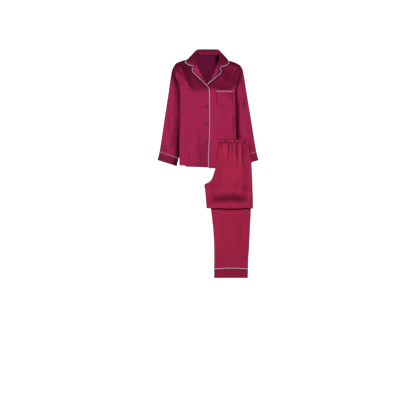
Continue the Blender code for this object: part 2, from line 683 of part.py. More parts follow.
def make_pocket(collection):
    def panel(u, y):
        x = pocket_x(u, y)
        up = (y - POCKET_BOTTOM) / (POCKET_SEAM - POCKET_BOTTOM)
        dome = POCKET_DOME * math.sin(math.pi * u) * math.sin(math.pi * clamp(0.15 + up * 0.75))
        return x, y, left_front_face(x, y) + LAY_GAP + CLOTH + max(0.0, dome)

    def band(u, y):
        x = pocket_x(u, y)
        gape = 1.8 * math.sin(math.pi * clamp(u)) * (y - POCKET_SEAM) / (POCKET_TOP - POCKET_SEAM)
        return x, y, left_front_face(x, y) + LAY_GAP + BAND_CLOTH + gape

    rows = (POCKET_BOTTOM, 346, 350, 358, 375, 395, 415, POCKET_SEAM)
    cloth("pocket", even(7), rows, panel, collection)
    cloth("pocket_band", even(7), (POCKET_SEAM + 4.2, 447, POCKET_TOP), band, collection, wall=BAND_CLOTH)
    route = []
    for i in range(9):
        x = mix(POCKET_LEFT, POCKET_RIGHT, i / 8)
        y = POCKET_SEAM + 2.1
        route.append(Vector((x, y, left_front_face(x, y) + LAY_GAP + PIPING_RADIUS)))
    cord("piping_pocket", route, collection)


def make_buttons(collection, cutters):
    """Four-hole buttons with a raised rim, from one turned profile."""
    profile = ((BUTTON_RADIUS, 1.9), (BUTTON_RADIUS, 0.7), (BUTTON_RADIUS - 1.0, 0.0), (0.0, 0.0))
    top = ((0.0, BUTTON_THICKNESS - 0.8), (BUTTON_RADIUS - 1.8 * BUTTON_RIM, BUTTON_THICKNESS - 0.8),
           (BUTTON_RADIUS - BUTTON_RIM, BUTTON_THICKNESS), (BUTTON_RADIUS - 0.3, BUTTON_THICKNESS - 0.2))
    mesh = bmesh.new()
    outline = [mesh.verts.new(Vector((x, 0, z)) * MM) for x, z in (*top, *profile)]
    for start, end in zip(outline, outline[1:]):
        mesh.edges.new((start, end))
    blank = finish_mesh("button_blank", mesh, BUTTON, collection)
    turned = blank.modifiers.new("Turn", "SCREW")
    turned.steps = 18
    turned.render_steps = 18
    turned.use_merge_vertices = True
    turned.merge_threshold = 0.00001
    holes = bmesh.new()
    for side_x in (-1, 1):
        for side_y in (-1, 1):
            made = bmesh.ops.create_cone(holes, cap_ends=True, segments=6, radius1=HOLE_RADIUS * MM,
                                         radius2=HOLE_RADIUS * MM, depth=8 * MM)
            shift = Vector((side_x * HOLE_OFFSET, side_y * HOLE_OFFSET, 1.0)) * MM
            bmesh.ops.translate(holes, verts=made["verts"], vec=shift)
    cutter = finish_mesh("button_holes", holes, BUTTON, cutters)
    cutter.hide_render = True
    cutter.display_type = "WIRE"
    bored = blank.modifiers.new("Holes", "BOOLEAN")
    bored.operation = "DIFFERENCE"
    bored.object = cutter
    bpy.context.view_layer.update()
    shape = bpy.data.meshes.new_from_object(blank.evaluated_get(bpy.context.evaluated_depsgraph_get()))
    bpy.data.objects.remove(blank)
    bpy.data.objects.remove(cutter)
    for number, y in enumerate(BUTTON_ROWS, 1):
        made = bpy.data.objects.new(f"button_{number}", shape)
        high = max(front_face(BUTTON_X, y + reach) for reach in (-BUTTON_RADIUS, 0, BUTTON_RADIUS))
        made.location = Vector((BUTTON_X, y, high + LAY_GAP)) * MM
        collection.objects.link(made)


# ---------------------------------------------------------------- trousers

def upper_edge(y, field):
    return read(UPPER_EDGES, y, field=field)


def lower_edge(y, field):
    return read(LOWER_EDGES, y, field=field)


def stack_base(x, y):
    """Underside of the folded trousers: on the shirt, down its hem, then on the table."""
    on_shirt = read(LOFT, max(y, -38)) + 0.9
    level = mix(on_shirt, 8.4, ease((x - 182) / 45) * ease((110 - y) / 50))
    return level * (1 - ease((-38 - y) / 75))


def stack_face(x, y):
    """Top face of the folded trousers down to the knee fold."""
    height = STACK + (WAIST_STACK - STACK) * ease((y - 60) / 60)
    return stack_base(x, y) + height + TUCK * ease((TUCK_START - y) / TUCK_RISE)


SHEET_COLUMNS = (
    ("left", 0.0), ("left", 1.3), ("left", EDGE_ROLL), ("across", 0.25), ("across", 0.5), ("across", 0.75),
    ("right", EDGE_ROLL), ("right", 1.3), ("right", 0.0),
)


def sheet_place(column, left, right, curl, face):
    """Point across a leg: the cloth curls down over the stack's edges by its curl."""
    kind, value = column
    if kind == "left":
        x, inset = left + value, value
    elif kind == "right":
        x, inset = right - value, value
    else:
        x, inset = mix(left + EDGE_ROLL, right - EDGE_ROLL, value), EDGE_ROLL
    drop = curl * EDGE_DROP * (1 - rounded(inset / EDGE_ROLL))
    return x, drop, face(x)


def make_leg(collection):
    """The left leg's outer layer, one cloth: over the stack, round the knee fold, back and out again."""
    back_level = STACK + TUCK - 2 * KNEE_RADIUS
    rows = []
    for y in UPPER_ROWS:
        curl = ease((y - KNEE_FOLD - 8) / 40)
        rows.append(("upper", y, None, curl))
    for angle in (90, 50, 0, -50, -90):
        turn = math.radians(angle)
        y = KNEE_FOLD + KNEE_RADIUS - KNEE_RADIUS * math.cos(turn)
        rows.append(("turn", y, back_level + KNEE_RADIUS + KNEE_RADIUS * math.sin(turn), 0.0))
    rows.append(("back", -235.0, back_level, 0.0))
    rows.append(("back", TUCK_END - 4.0, back_level, 0.0))
    rows.append(("back", TUCK_END - 1.2, back_level - 0.3, 0.0))
    rows.append(("lower", TUCK_END - 4.0, LOWER_STACK, 0.0))
    for y in LOWER_ROWS[1:]:
        rows.append(("lower", y, LOWER_STACK, ease((TUCK_END - 10 - y) / 30)))

    def place(column, row):
        kind, y, level, curl = row
        if kind in ("upper", "turn"):
            left, right = upper_edge(y, "left"), upper_edge(y, "right")
        else:
            spread = clamp((y - KNEE_FOLD) / (TUCK_END - KNEE_FOLD)) if kind == "back" else 1.0
            left = mix(upper_edge(y, "left"), lower_edge(y, "left"), spread)
            right = mix(upper_edge(y, "right"), lower_edge(y, "right"), spread)
        x, drop, z = sheet_place(column, left, right, curl,
                                 lambda at: stack_face(at, y) if level is None else level)
        return x, y, z - drop

    cloth("leg_left", SHEET_COLUMNS, rows, place, collection, flip=True)


def edge_with_slant(edge, y, field):
    """An edge's place, and how far it is across for each millimetre square to it."""
    step = 5.0
    run = max(abs(edge(y + step, field) - edge(y, field)), abs(edge(y, field) - edge(y - step, field)))
    return edge(y, field), math.hypot(1, run / step)


def layered_ring(y, left, right, bottom, face, layers=2):
    """Ring around the hidden layers, rounded, with a groove between the layers seen at its edges."""
    clear = CLOTH + LAYER_CLEAR
    left, left_slant = left
    right, right_slant = right

    def half(edge, inward):
        low, high = bottom(edge), face(edge) - clear
        rim = max(face(edge) - EDGE_DROP - 0.8, low + 1.4)
        groove = (rim - low) / layers
        side = [(edge + inward * 3.0, low)]
        for layer in range(layers):
            start = low + layer * groove
            side.append((edge + inward * LAYER_INSET, start + groove * 0.35))
            side.append((edge + inward * LAYER_INSET, start + groove * 0.75))
            side.append((edge + inward * GROOVE_INSET, start + groove))
        side.append((edge + inward * (GROOVE_INSET - 0.1), high - 1.8))
        side.append((edge + inward * (EDGE_ROLL + 0.6), high))
        return side

    left_side = half(left, left_slant)
    right_side = half(right, -right_slant)
    middle = [mix(left + EDGE_ROLL, right - EDGE_ROLL, share) for share in (0.25, 0.5, 0.75)]
    ring = [(x, y, z) for x, z in left_side]
    ring += [(x, y, face(x) - clear) for x in middle]
    ring += [(x, y, z) for x, z in reversed(right_side)]
    ring += [(x, y, bottom(x)) for x in reversed(middle)]
    return ring


def make_folded_layers(collection):
    """The layers inside the folded trousers, as rounded solids with layered edges."""
    back_level = STACK + TUCK - 2 * KNEE_RADIUS
    step = TUCK_END + TUCK_CLEAR

    def upper(y):
        in_waist = y > WAIST_SEAM - 0.4
        inset = WAIST_INSET if in_waist else 0.0

        def bottom(x):
            if y < step:
                return back_level + CLOTH + LAYER_CLEAR
            return stack_base(x, y) + (BAND_CLOTH + 1.4 if in_waist else 0.0)

        def face(x):
            return stack_face(x, y) - (BAND_CLOTH - CLOTH + 0.8 if in_waist else 0.0)
        left, left_slant = edge_with_slant(upper_edge, y, "left")
        right, right_slant = edge_with_slant(upper_edge, y, "right")
        return layered_ring(y, (left + inset, left_slant), (right - inset, right_slant), bottom, face)

    def lower(y):
        left, right = edge_with_slant(lower_edge, y, "left"), edge_with_slant(lower_edge, y, "right")
        return layered_ring(y, left, right, lambda x: 0.0, lambda x: LOWER_STACK)

    upper_rows = (140, 132, 123.2, 122.9, *UPPER_ROWS[1:UPPER_ROWS.index(-195)], step, step - 0.2, -225, -255,
                  KNEE_FOLD + 7.0)
    layered_block("folded_layers_upper", upper_rows, upper, collection)
    lower_rows = (TUCK_END + 1.8, TUCK_END - 20, -262, -290, -337, -397, -457, -517, -577, HEM_SEAM + 0.2)
    layered_block("folded_layers_lower", lower_rows, lower, collection)


def make_waistband(collection):
    rows = []
    for y in (WAIST_SEAM, 130.0, 138.0, WAIST_TOP):
        rows.append(Tube(62.0, y, 226.0, y, False))
    make_tube("waistband", rows, lambda x, y: WAIST_STACK, collection, flip=False, wall=BAND_CLOTH,
              base=stack_base)


def make_hems(collection):
    """Two hem bands one on the other, each a flat tube, with a cord in the seam above it."""
    layer = (LOWER_STACK - SEAM_GAP) / 2
    for side, base in (("right", 0.0), ("left", layer + SEAM_GAP)):
        rows = []
        for y in (HEM_SEAM - 4.2, -655.0, HEM_END):
            rows.append(Tube(lower_edge(y, "left"), y, lower_edge(y, "right"), y, False))
        make_tube(f"hem_band_{side}", rows, lambda x, y: layer, collection, flip=True,
                  base=lambda x, y, level=base: level)
        y = HEM_SEAM - 2.0
        left, right = lower_edge(y, "left") + 1.2, lower_edge(y, "right") - 1.2
        high = 1.7 if side == "right" else LOWER_STACK - 0.9
        fall = 0.0 if side == "right" else 1.4
        route = []
        for share in (0.0, 0.015, 0.05, 0.275, 0.5, 0.725, 0.95, 0.985, 1.0):
            drop = fall * (1 - rounded(20 * min(share, 1 - share)))
            route.append(Vector((mix(left, right, share), y, high - drop)))
        cord(f"piping_hem_{side}", route, collection)


def main():
    for item in list(bpy.data.objects):
        bpy.data.objects.remove(item)
    collection = bpy.data.collections.new("pyjama_set")
    cutters = bpy.data.collections.new("cutters")
    for group in (collection, cutters):
        bpy.context.scene.collection.children.link(group)
    make_back(collection)
    make_fronts(collection)
    make_lapels(collection)
    make_collar(collection)
    make_sleeves(collection)
    make_piping(collection)
    make_pocket(collection)
    make_buttons(collection, cutters)
    make_waistband(collection)
    make_leg(collection)
    make_folded_layers(collection)
    make_hems(collection)


main()
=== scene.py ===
"""Looks of a satin pyjama set laid flat: a piped shirt, and trousers folded over its lower corner.

Lengths in the tables are millimetres: +X is the wearer's left, +Y the collar, +Z up from the table.
"""
import math
from collections import namedtuple

import bmesh
import bpy
import numpy as np
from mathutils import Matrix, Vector


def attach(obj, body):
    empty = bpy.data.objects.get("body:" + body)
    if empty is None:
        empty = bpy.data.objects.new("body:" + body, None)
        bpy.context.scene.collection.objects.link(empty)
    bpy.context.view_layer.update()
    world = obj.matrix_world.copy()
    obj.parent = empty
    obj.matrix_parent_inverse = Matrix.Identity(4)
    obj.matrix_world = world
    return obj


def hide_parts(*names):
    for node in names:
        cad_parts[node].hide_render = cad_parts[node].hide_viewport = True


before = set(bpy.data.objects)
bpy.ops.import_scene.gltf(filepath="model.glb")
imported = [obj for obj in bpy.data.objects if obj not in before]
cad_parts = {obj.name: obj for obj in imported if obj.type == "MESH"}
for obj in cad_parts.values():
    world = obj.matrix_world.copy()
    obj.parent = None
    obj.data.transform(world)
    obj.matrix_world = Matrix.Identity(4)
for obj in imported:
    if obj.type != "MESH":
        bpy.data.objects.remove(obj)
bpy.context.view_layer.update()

bl_info = {
    "name": "Satin pyjama set",
    "version": (1, 0, 0),
    "blender": (4, 5, 0),
    "location": "3D View > Sidebar > Pyjama Set",
    "description": "Builds the cloth, piping, buttons and stitches of a pyjama set laid flat",
    "category": "Object",
}

MM = 0.001
BODY = "root"
MERGE_DISTANCE = 1e-6
FAR_AWAY = 1e9
CLOTH_ANGLE = 55
BUTTON_ANGLE = 50
SHIRT_KINDS = ("crimson_satin", "satin_reverse")
TROUSER_KINDS = ("trouser_satin", "satin_reverse")
UPRIGHT = Vector((0, 0, 1))

# Heights of the laid cloth.
CLOTH = 1.2
LAY_GAP = 0.6
FRONT_LAP = 1.9
TUCKED_HEIGHT = 2.8
CROWN_AT_CUFF = 8.0
CUFF_HEIGHT = 6.6
CUFF_INNER_HEIGHT = 3.6
BACK_LIFT = 4.0
COLLAR_LIFT = 1.7
SIDE_SEAM_HEIGHT = 3.3
SIDE_RISE = 5.7
SIDE_CHEST_FALL = 1.5
SHOULDER_ROLL = 22.0
UNDERARM = 441.0
HEM_REACH = -20.0
SHOULDER_TIP = 588.0
HEM_TUCK = 2.5
LEFT_HEM_TUCK = 1.0
HEM_DEPTH = 13.0
ARMHOLE_GAP = 0.1
ARMHOLE_LAP = 2.0
TUBE_ROLL = 1.2
BREAK_LINE = 440.0
# How much lighter each lapel's colour is painted: a painted highlight.
LAPEL_PAINTED_HIGHLIGHT_RIGHT = 0.48
LAPEL_PAINTED_HIGHLIGHT_LEFT = 0.28
COLLAR_AROUND = 420
COLLAR_DEPTH = 95

# Trousers.
STACK = 8.6
TUCK = 9.0
LOWER_STACK = 8.0
WAIST_STACK = 9.4
EDGE_DROP = 4.6
EDGE_ROLL = 1.5
KNEE_FOLD = -270.0
KNEE_RADIUS = 4.5
KNEE_BACK = STACK + TUCK - 2 * KNEE_RADIUS
TUCK_END = -200.0
SHIRT_HEM = -38.0
LAYERS = 3
LAYER_GAP = 0.3
WAIST_TOP = 145.0
WAIST_SEAM = 123.5
WAIST_LEFT = 62.0
WAIST_RIGHT = 226.0
# How much lighter the waistband's colour is painted all over: a painted highlight.
WAIST_PAINTED_HIGHLIGHT = 0.25
GATHER_PITCH = 13.0
HEM_SEAM = -629.0
HEM_END = -685.5
HEM_ARCH = 4.5

# Buttons and pocket.
BUTTON_X = -6.0
BUTTON_ROWS = (450.9, 340.5, 239.1, 132.9)
BUTTON_DISH = 0.9
HOLE_REACH = 1.7
HOLE_RADIUS = 0.75
THREAD_RADIUS = 0.22
THREAD_SHIFT = 0.25
POCKET_LEFT = 51.6
POCKET_RIGHT = 148.2
POCKET_BOTTOM = 343.5
POCKET_SEAM = 432.6
POCKET_TOP = 458.0
POCKET_CORNER = 15.0
POCKET_STEP = 1.3
POCKET_FULLNESS = 0.8
BAND_THICKNESS = 1.0

# Studio, in metres, and the camera's film, in millimetres.
FLOOR_REACH = 14.0
FLOOR_LEVEL = -0.0004
LAMP_X = -0.325
LAMP_HEIGHT = 6.0
LAMP_WIDTH = 2.55
UPPER_LAMP_SHARE = 0.457
VIEW_DEPTH = 60.0
SENSOR_WIDTH = 36.0


def table(columns, *rows):
    """Rows of numbers with named columns."""
    row_of = namedtuple("Row", columns)
    return tuple(row_of(*row) for row in rows)


# Edges of the body's panels in plan.
SIDE_RIGHT = table(
    "along x", (-30, -171), (60, -173.5), (124, -174.6), (185, -172.8), (262, -169.5), (352, -168),
    (400, -168.6), (441, -171), (474, -178.8), (498, -187.2), (522, -199), (555, -203.5), (590, -205.5),
)
SIDE_LEFT = table(
    "along x", (-30, 171), (60, 173), (148, 171.6), (262, 168.6), (352, 166.8), (400, 164), (441, 165.4),
    (474, 171), (505, 182.6), (530, 193.5), (560, 197.5), (590, 198.5),
)
CENTRE_RIGHT = table(
    "along x", (-30, 1.2), (60, 1.2), (124, 4.2), (185, 7.2), (262, 8.4), (352, 7.2), (400, 6.8),
    (438, 5.6), (453, 0.5), (466, -5), (482, -10), (505, -22), (540, -40), (575, -57.5), (600, -70.5),
    (612, -74), (650, -74),
)
CENTRE_LEFT = table(
    "along x", (-30, -22), (400, -20), (440, -17), (465, -8), (481, -1), (512, 15.5), (545, 33),
    (575, 48.5), (594, 59), (606, 67), (616, 70), (650, 70),
)

# Hem and shoulder seams across the body.
HEM_LINE = table(
    "x along", (-171, -11), (-140, -12.5), (-134, -18), (-60, -21), (2, -24), (8, -29), (42, -29),
    (100, -27), (171, -16),
)
SHOULDER_LINE = table(
    "x along", (-206, 586), (-194, 601.5), (-183, 608), (-171, 613), (-158, 617.5), (-140, 622.5),
    (-124, 625), (-112, 628), (-100, 632), (-88, 638), (-74, 645), (0, 652), (70, 645), (84, 636),
    (96, 627.5), (108, 622.5), (118, 621), (131, 618), (144, 614), (158, 609.5), (172, 603.5), (184, 597),
    (192, 591.5), (199, 584),
)

# Height of the laid body and of its side edges, and how wide their rounding is.
LOFT = table(
    "along z", (-40, 8.4), (0, 9.4), (100, 12.6), (200, 15.8), (300, 18.8), (400, 21), (428, 21.2),
    (440, 20.8), (455, 19.6), (480, 17.5), (520, 14.3), (560, 11.4), (600, 8.8), (640, 6.8),
)
CHEST_SHIFT = table(
    "x shift", (-185, 112), (-159, 97), (-147, 85), (-135, 64), (-123, 48), (-111, 28), (-99, 10), (-87, 0),
    (-70, -4), (-45, 0), (-6, 8), (20, 12), (60, 6), (130, 7), (150, 16), (168, 26), (190, 30),
)
EDGE_LEVEL = table(
    "along z", (-40, 6.2), (400, 6.2), (441, 6), (470, 5.4), (540, 5.2), (565, 4.7), (590, 3.6),
)
EDGE_WIDTH = table(
    "along z", (-40, 3.2), (400, 3.2), (500, 3.6), (545, 5), (590, 11),
)

# How wide the valley is between the body's side and each sleeve's crown, and how high that crown is.
VALLEY_RIGHT = table(
    "along width crown", (30, 92, 11), (82, 90, 11.6), (142, 86, 11.2), (202, 82, 10.2), (262, 78, 9.2),
    (322, 70, 8.6), (385, 64, 8.6), (430, 50, 8.8), (466, 42, 8.9), (500, 36, 8.8), (540, 30, 8.3),
    (565, 24, 6.9), (588, 18, 4.8),
)
VALLEY_LEFT = table(
    "along width crown", (30, 46, 9), (82, 50, 10.4), (142, 52, 11), (202, 50, 11), (262, 43, 10.6),
    (322, 42, 9.8), (385, 40, 9), (430, 34, 8.4), (466, 28, 8), (500, 26, 7.7), (540, 26, 7.3),
    (565, 24, 6.2), (588, 20, 4.4),
)

# Outer and inner edges of each sleeve and cuff; an inner edge of None is on the body's armhole.
SLEEVE_ROWS = table(
    "outer_x outer_y inner_x inner_y", (-208.2, 582.5, None, 580), (-212.4, 571, None, 568),
    (-217, 556, None, 552), (-220.6, 538, None, 535), (-223, 523, None, 521), (-225.2, 510, None, 509),
    (-227.4, 496, None, 496), (-230.4, 476, None, 476), (-233, 455, None, 455), (-237, 427, -166, 427),
    (-243.5, 385, -162.5, 385), (-249.5, 345, -162.5, 342), (-259, 285, -156, 275),
    (-269, 215, -155.5, 195), (-278.5, 152, -158.5, 120), (-285.5, 106, -167.5, 66),
    (-290.9, 72.6, -175.6, 31.7),
)
CUFF_ROWS = table(
    "outer_x outer_y inner_x inner_y", (-291.4, 70.8, -176.3, 29.9), (-297.4, 45, -182.4, 6.4),
    (-304.2, 21.3, -187.2, -15.3),
)
CUFF_SEAM = table(
    "outer_x outer_y inner_x inner_y", (-291.2, 71.6, -176, 30.8),
)
MIRROR_SHIFT_TOP = 7.0

# Each lapel's roll and its outer edge.
LAPEL_RIGHT_ROWS = table(
    "roll_x roll_y tip_x tip_y", (-9, 481, -12, 475.5), (-20, 503, -32, 496), (-33, 528, -54, 517.5),
    (-46, 553, -76, 539.5), (-54.5, 569.5, -91, 555), (-62, 584, -90, 566), (-69.5, 598.5, -81.5, 583),
)
LAPEL_LEFT_ROWS = table(
    "roll_x roll_y tip_x tip_y", (-1.5, 480, 0.5, 477.5), (4.5, 491, 9, 486.5), (13.5, 508, 22.5, 500.5),
    (24, 528, 39.5, 514.5), (34.5, 548, 56.5, 529), (42.5, 563, 75.5, 548), (49.5, 577, 74, 561),
    (57.5, 592, 69, 576),
)
LAPEL_LOFT = 0.9
LAPEL_RISE_ROLL = 5.5
LAPEL_RISE_TIP = 3.0
ROLL_RADIUS = 1.2

# Sections round the collar: neck seam, roll, outer edge and, where it lies on the table, its underside.
COLLAR_ROWS = table(
    "neck_x neck_y neck_z roll_x roll_y roll_z fold_x fold_y fold_z under_x under_y",
    (-72.5, 602, 9.8, -71, 603, 17, -132.5, 605, 11.4, None, None),
    (-72.5, 613, 9.4, -70.8, 614, 16.2, -133.5, 614, 10.6, None, None),
    (-72.5, 624, 8.6, -70.6, 626, 15, -126.5, 624.5, 8.4, -122, 618),
    (-72, 635, 7.8, -70.2, 640, 13.8, -114.5, 635.5, 7.2, -110, 629),
    (-70, 644, 7.4, -69, 656, 12.8, -94, 657, 7, -90, 628),
    (-62, 650, 6.6, -67, 671, 12.6, -77, 674.3, 7, -62, 628),
    (-48, 653, 4.8, -58, 680.4, 12.8, -63, 683.4, 7.4, -42, 630),
    (-30, 654, 4.3, -36, 682, 12.8, -36, 685, 7.8, -28, 634),
    (0, 654, 4.3, 0, 682.2, 12.8, 0, 685.2, 7.8, 0, 636),
    (30, 654, 4.3, 37, 682, 12.8, 37, 685, 7.8, 28, 634),
    (42, 652, 4.2, 57, 680, 12.8, 62, 683.4, 7.4, 42, 630),
    (48, 648, 4.6, 65, 670.5, 12.8, 74.5, 671.8, 7, 60, 626),
    (51, 640, 4.2, 69, 656, 13.2, 91, 655.8, 7, 87, 624),
    (51.5, 630, 4.2, 69.5, 639, 14.2, 110, 635.6, 7.2, 106, 628),
    (51.5, 619, 4.4, 68, 623, 15.4, 118, 623, 8.4, 113.5, 617),
    (53, 608, 5.6, 65, 609.5, 16.4, 122.6, 611, 10.4, None, None),
    (57, 598.5, 7.6, 61, 597.5, 17, 122, 601, 11.2, None, None),
)
COLLAR_BOW = 11.0

# Routes of the shirt's piping, with its lift over the cloth.
PIPING_FRONT_RIGHT = table(
    "x y lift", (3.3, -25, 1.9), (3.3, 60, 1.9), (6.3, 124, 1.9), (9.3, 185, 1.9), (10.5, 262, 1.9),
    (9.3, 352, 1.9), (8.9, 400, 1.9), (8, 436, 1.9), (4.2, 452, 2.1), (-2, 463.5, 2.3), (-10.5, 471.8, 2.3),
    (-33, 493.6, 2.3), (-56, 516.4, 2.3), (-79, 539, 2.3), (-92.4, 552.8, 2.3), (-94.2, 559, 2.3),
    (-92.6, 566.5, 2.3), (-84.6, 581.5, 2.3),
)
PIPING_FRONT_LEFT = table(
    "x y lift", (-4, 475.6, 3.4), (4, 482, 3), (24, 498.6, 2.3), (41, 512.8, 2.3), (58.5, 527.6, 2.3),
    (73, 540.4, 2.3), (78.6, 548.4, 2.3), (77.6, 560.5, 2.3), (72.6, 575, 2.3),
)
PIPING_COLLAR_RIGHT = table(
    "x y lift", (-86, 586.8, 2.6), (-99, 588.4, 2.6), (-113, 591.8, 2.6), (-126.5, 598.2, 2.6),
    (-134.6, 606, 2.5), (-135.8, 614, 2.6), (-132, 621, 3.2), (-129, 625.5, 3.8),
)
PIPING_COLLAR_LEFT = table(
    "x y lift", (74, 580.6, 2.6), (88, 582.6, 2.6), (101, 586.2, 2.6), (115.5, 593.6, 2.6),
    (124, 601.6, 2.5), (125.6, 609.6, 2.6), (123.2, 617, 3.2), (120.6, 621.5, 3.8),
)
PRESSED_EDGES = (
    (PIPING_FRONT_RIGHT[9:], 1.9), (PIPING_FRONT_LEFT, 1.9), (PIPING_COLLAR_RIGHT[:6], 2.1),
    (PIPING_COLLAR_LEFT[:6], 2.1),
)

# Side edges of the folded trousers above and below the knee tuck.
UPPER_EDGES = table(
    "along left right", (145, 62, 226), (122, 62, 228), (104, 59, 242), (84, 56.5, 250.5), (64, 54, 255.6),
    (4, 46.5, 261), (-31, 42.5, 262.5), (-50, 36.5, 263.5), (-74, 29, 265.2), (-96, 18.5, 266),
    (-109, 5, 266.5), (-116, -8, 267), (-124, -22, 267.2), (-131, -22.4, 267.3), (-158, -18.6, 268),
    (-217, -13.2, 270), (-270, -9, 270),
)
LOWER_EDGES = table(
    "along left right", (-200, 13, 259), (-277, 17.4, 257.5), (-307, 21, 256.8), (-337, 24.6, 255),
    (-397, 30.6, 252), (-457, 34.8, 249), (-517, 36.6, 246), (-577, 36.6, 241.8), (-637, 36, 240.6),
    (-686, 36.6, 238.8),
)

# Folds pressed and hung into each part. A soft ridge (depth over 0) or trough: three places on its
# line, its width to each side, its depth, and how much of that depth it has where it starts.
SHIRT_CREASES = table(
    "x1 y1 x2 y2 x3 y3 left right depth start", (-172, 596, -141, 538, -102, 452, 16, 14, 2.3, 0.3),
    (-112, 590, -96, 540, -72, 492, 18, 20, -0.9, 0.2), (-176, 506, -160, 470, -146, 420, 8, 9, 0.9, 0.3),
    (-166, 536, -140, 500, -104, 462, 12, 22, 1.2, 0.5), (-112, 92, -108, 36, -104, -14, 7, 9, 0.7, 0),
    (-82, 70, -80, 30, -78, -18, 8, 10, -0.5, 0), (-104, 420, -96, 330, -108, 230, 20, 24, 0.5, 0),
    (126, 590, 116, 540, 104, 496, 12, 14, -0.8, 0.2), (170, 580, 158, 530, 152, 470, 10, 12, -1, 0.2),
    (92, 560, 76, 520, 58, 480, 14, 16, 0.8, 0.1), (146, 330, 143, 240, 147, 150, 12, 8, 0.7, 0),
    (40, 330, 50, 250, 44, 165, 16, 20, -0.5, 0), (-12, 340, -34, 346, -62, 344, 6, 6, -0.4, 1),
    (-12, 240, -30, 236, -52, 238, 6, 6, -0.35, 1),
)
SLEEVE_RIGHT_CREASES = table(
    "x1 y1 x2 y2 x3 y3 left right depth start", (-216, 560, -221, 500, -226, 420, 9, 10, -0.7, 0.1),
    (-222, 450, -226, 340, -232, 200, 11, 12, -0.9, 0.1),
    (-222, 300, -226, 220, -236, 120, 10, 12, -0.7, 0), (-262, 220, -268, 140, -272, 60, 12, 12, -0.5, 0),
    (-246, 130, -250, 90, -252, 62, 8, 9, 0.4, 0.3),
)
SLEEVE_LEFT_CREASES = table(
    "x1 y1 x2 y2 x3 y3 left right depth start", (206, 540, 207, 480, 200, 400, 10, 10, -0.7, 0.1),
    (186, 466, 194, 400, 196, 330, 8, 9, -0.8, 0.2), (228, 420, 226, 340, 222, 250, 12, 12, -0.5, 0),
    (210, 350, 210, 262, 202, 160, 10, 11, -0.9, 0), (262, 180, 260, 120, 262, 74, 10, 10, -0.6, 0.2),
)
LEG_CREASES = table(
    "x1 y1 x2 y2 x3 y3 left right depth start", (65, 124, 64, 80, 62, 20, 5, 6, -0.8, 1),
    (84, 124, 87, 100, 88, 40, 5, 6, -0.6, 1), (107, 124, 109, 106, 109, 84, 5, 5, -0.6, 1),
    (126, 124, 128, 76, 128, -40, 6, 7, -0.8, 1), (148, 124, 151, 70, 153, -40, 6, 7, -0.8, 1),
    (178, 124, 182, 60, 178, -90, 6, 8, -0.9, 1), (210, 124, 215, 50, 226, -90, 8, 10, -0.5, 1),
    (220, 20, 230, -60, 228, -160, 14, 16, -0.6, 0), (234, 124, 256, 70, 264, 10, 6, 7, -0.4, 1),
    (74, 124, 75, 90, 74, 50, 4, 4, 0.5, 1), (114, 124, 115, 84, 112, -10, 5, 5, 0.6, 1),
    (137, 124, 138, 84, 137, 10, 5, 5, 0.6, 1), (161, 124, 161, 84, 161, -20, 5, 6, 0.8, 1),
    (196, 124, 198, 50, 197, -100, 8, 7, 0.6, 1), (12, -150, 14, -200, 18, -262, 9, 9, 0.5, 0.3),
)
SAG_BOW = 5.0

# How far the folded trousers' face sags below a level line, from the shirt's hem to the knee fold.
SAG_MIDDLE = table(
    "along z", (60, 0), (30, 0.9), (0, 2.3), (-40, 4.6), (-85, 7.4), (-120, 9.7), (-140, 11.1),
    (-154, 11.6), (-164, 11.3), (-172, 10.6), (-185, 9), (-198, 7.05), (-210, 5), (-222, 3.05), (-234, 1.4),
    (-245, 0.35), (-252, 0),
)
SAG_SIDE = table(
    "along z", (60, 0), (30, 0.8), (0, 2.1), (-40, 4.2), (-85, 6.8), (-120, 8.8), (-140, 10), (-152, 10.5),
    (-164, 10.4), (-181, 9.4), (-206, 6.8), (-230, 3.8), (-250, 1), (-260, 0),
)
LOWER_LEG_CREASES = table(
    "x1 y1 x2 y2 x3 y3 left right depth start", (120, -300, 110, -420, 118, -560, 34, 38, -0.35, 0),
    (60, -290, 66, -400, 62, -520, 20, 20, 0.3, 0), (200, -300, 206, -420, 198, -600, 24, 28, -0.6, 0.2),
    (160, -480, 156, -560, 162, -620, 18, 20, -0.3, 0.5),
)


# ---------------------------------------------------------------- numbers and curves

def ease(value):
    """Smooth step from 0 to 1."""
    t = np.clip(value, 0.0, 1.0)
    return t * t * (3 - 2 * t)


def rounded(value):
    """Quarter of an ellipse from 0 to 1, steep at 0 and level at 1."""
    t = np.clip(value, 0.0, 1.0)
    return np.sqrt(1 - (1 - t) ** 2)


def mix(low, high, t):
    return low + (high - low) * t


def bell(distance, width):
    """1 at no distance, falling softly to 0 on both sides."""
    return np.exp(-(distance / width) ** 2)


def points_of(*parts):
    """Coordinates, each a number or an array, joined into an array of points."""
    return np.stack(np.broadcast_arrays(*parts), -1)


def run_along(points):
    """Distance along a line of points to each of them."""
    return np.concatenate([[0], np.cumsum(np.linalg.norm(np.diff(points, axis=0), axis=1))])


def curve_through(places, values, at):
    """Smooth curve without overshoot through values at rising places, read at an array of places."""
    steps = np.diff(places)
    rises = np.diff(values) / steps
    slopes = np.concatenate([rises[:1], np.zeros(len(places) - 2), rises[-1:]])
    same = np.nonzero(rises[:-1] * rises[1:] > 0)[0]
    slopes[same + 1] = 2 * rises[same] * rises[same + 1] / (rises[same] + rises[same + 1])
    i = np.clip(np.searchsorted(places, at, side="right") - 1, 0, len(steps) - 1)
    t = np.clip((at - places[i]) / steps[i], 0.0, 1.0)
    rise = values[i + 1] - values[i]
    start, end = slopes[i] * steps[i], slopes[i + 1] * steps[i]
    return (values[i] + start * t + (3 * rise - 2 * start - end) * t ** 2
            + (start + end - 2 * rise) * t ** 3)


def read(rows, at, column=None):
    """A table's column, the second unless it is named, at an array of places down the first."""
    pairs = sorted((row[0], getattr(row, column) if column else row[1]) for row in rows)
    places, values = np.array(pairs, dtype=float).T
    return curve_through(places, values, np.asarray(at, dtype=float))


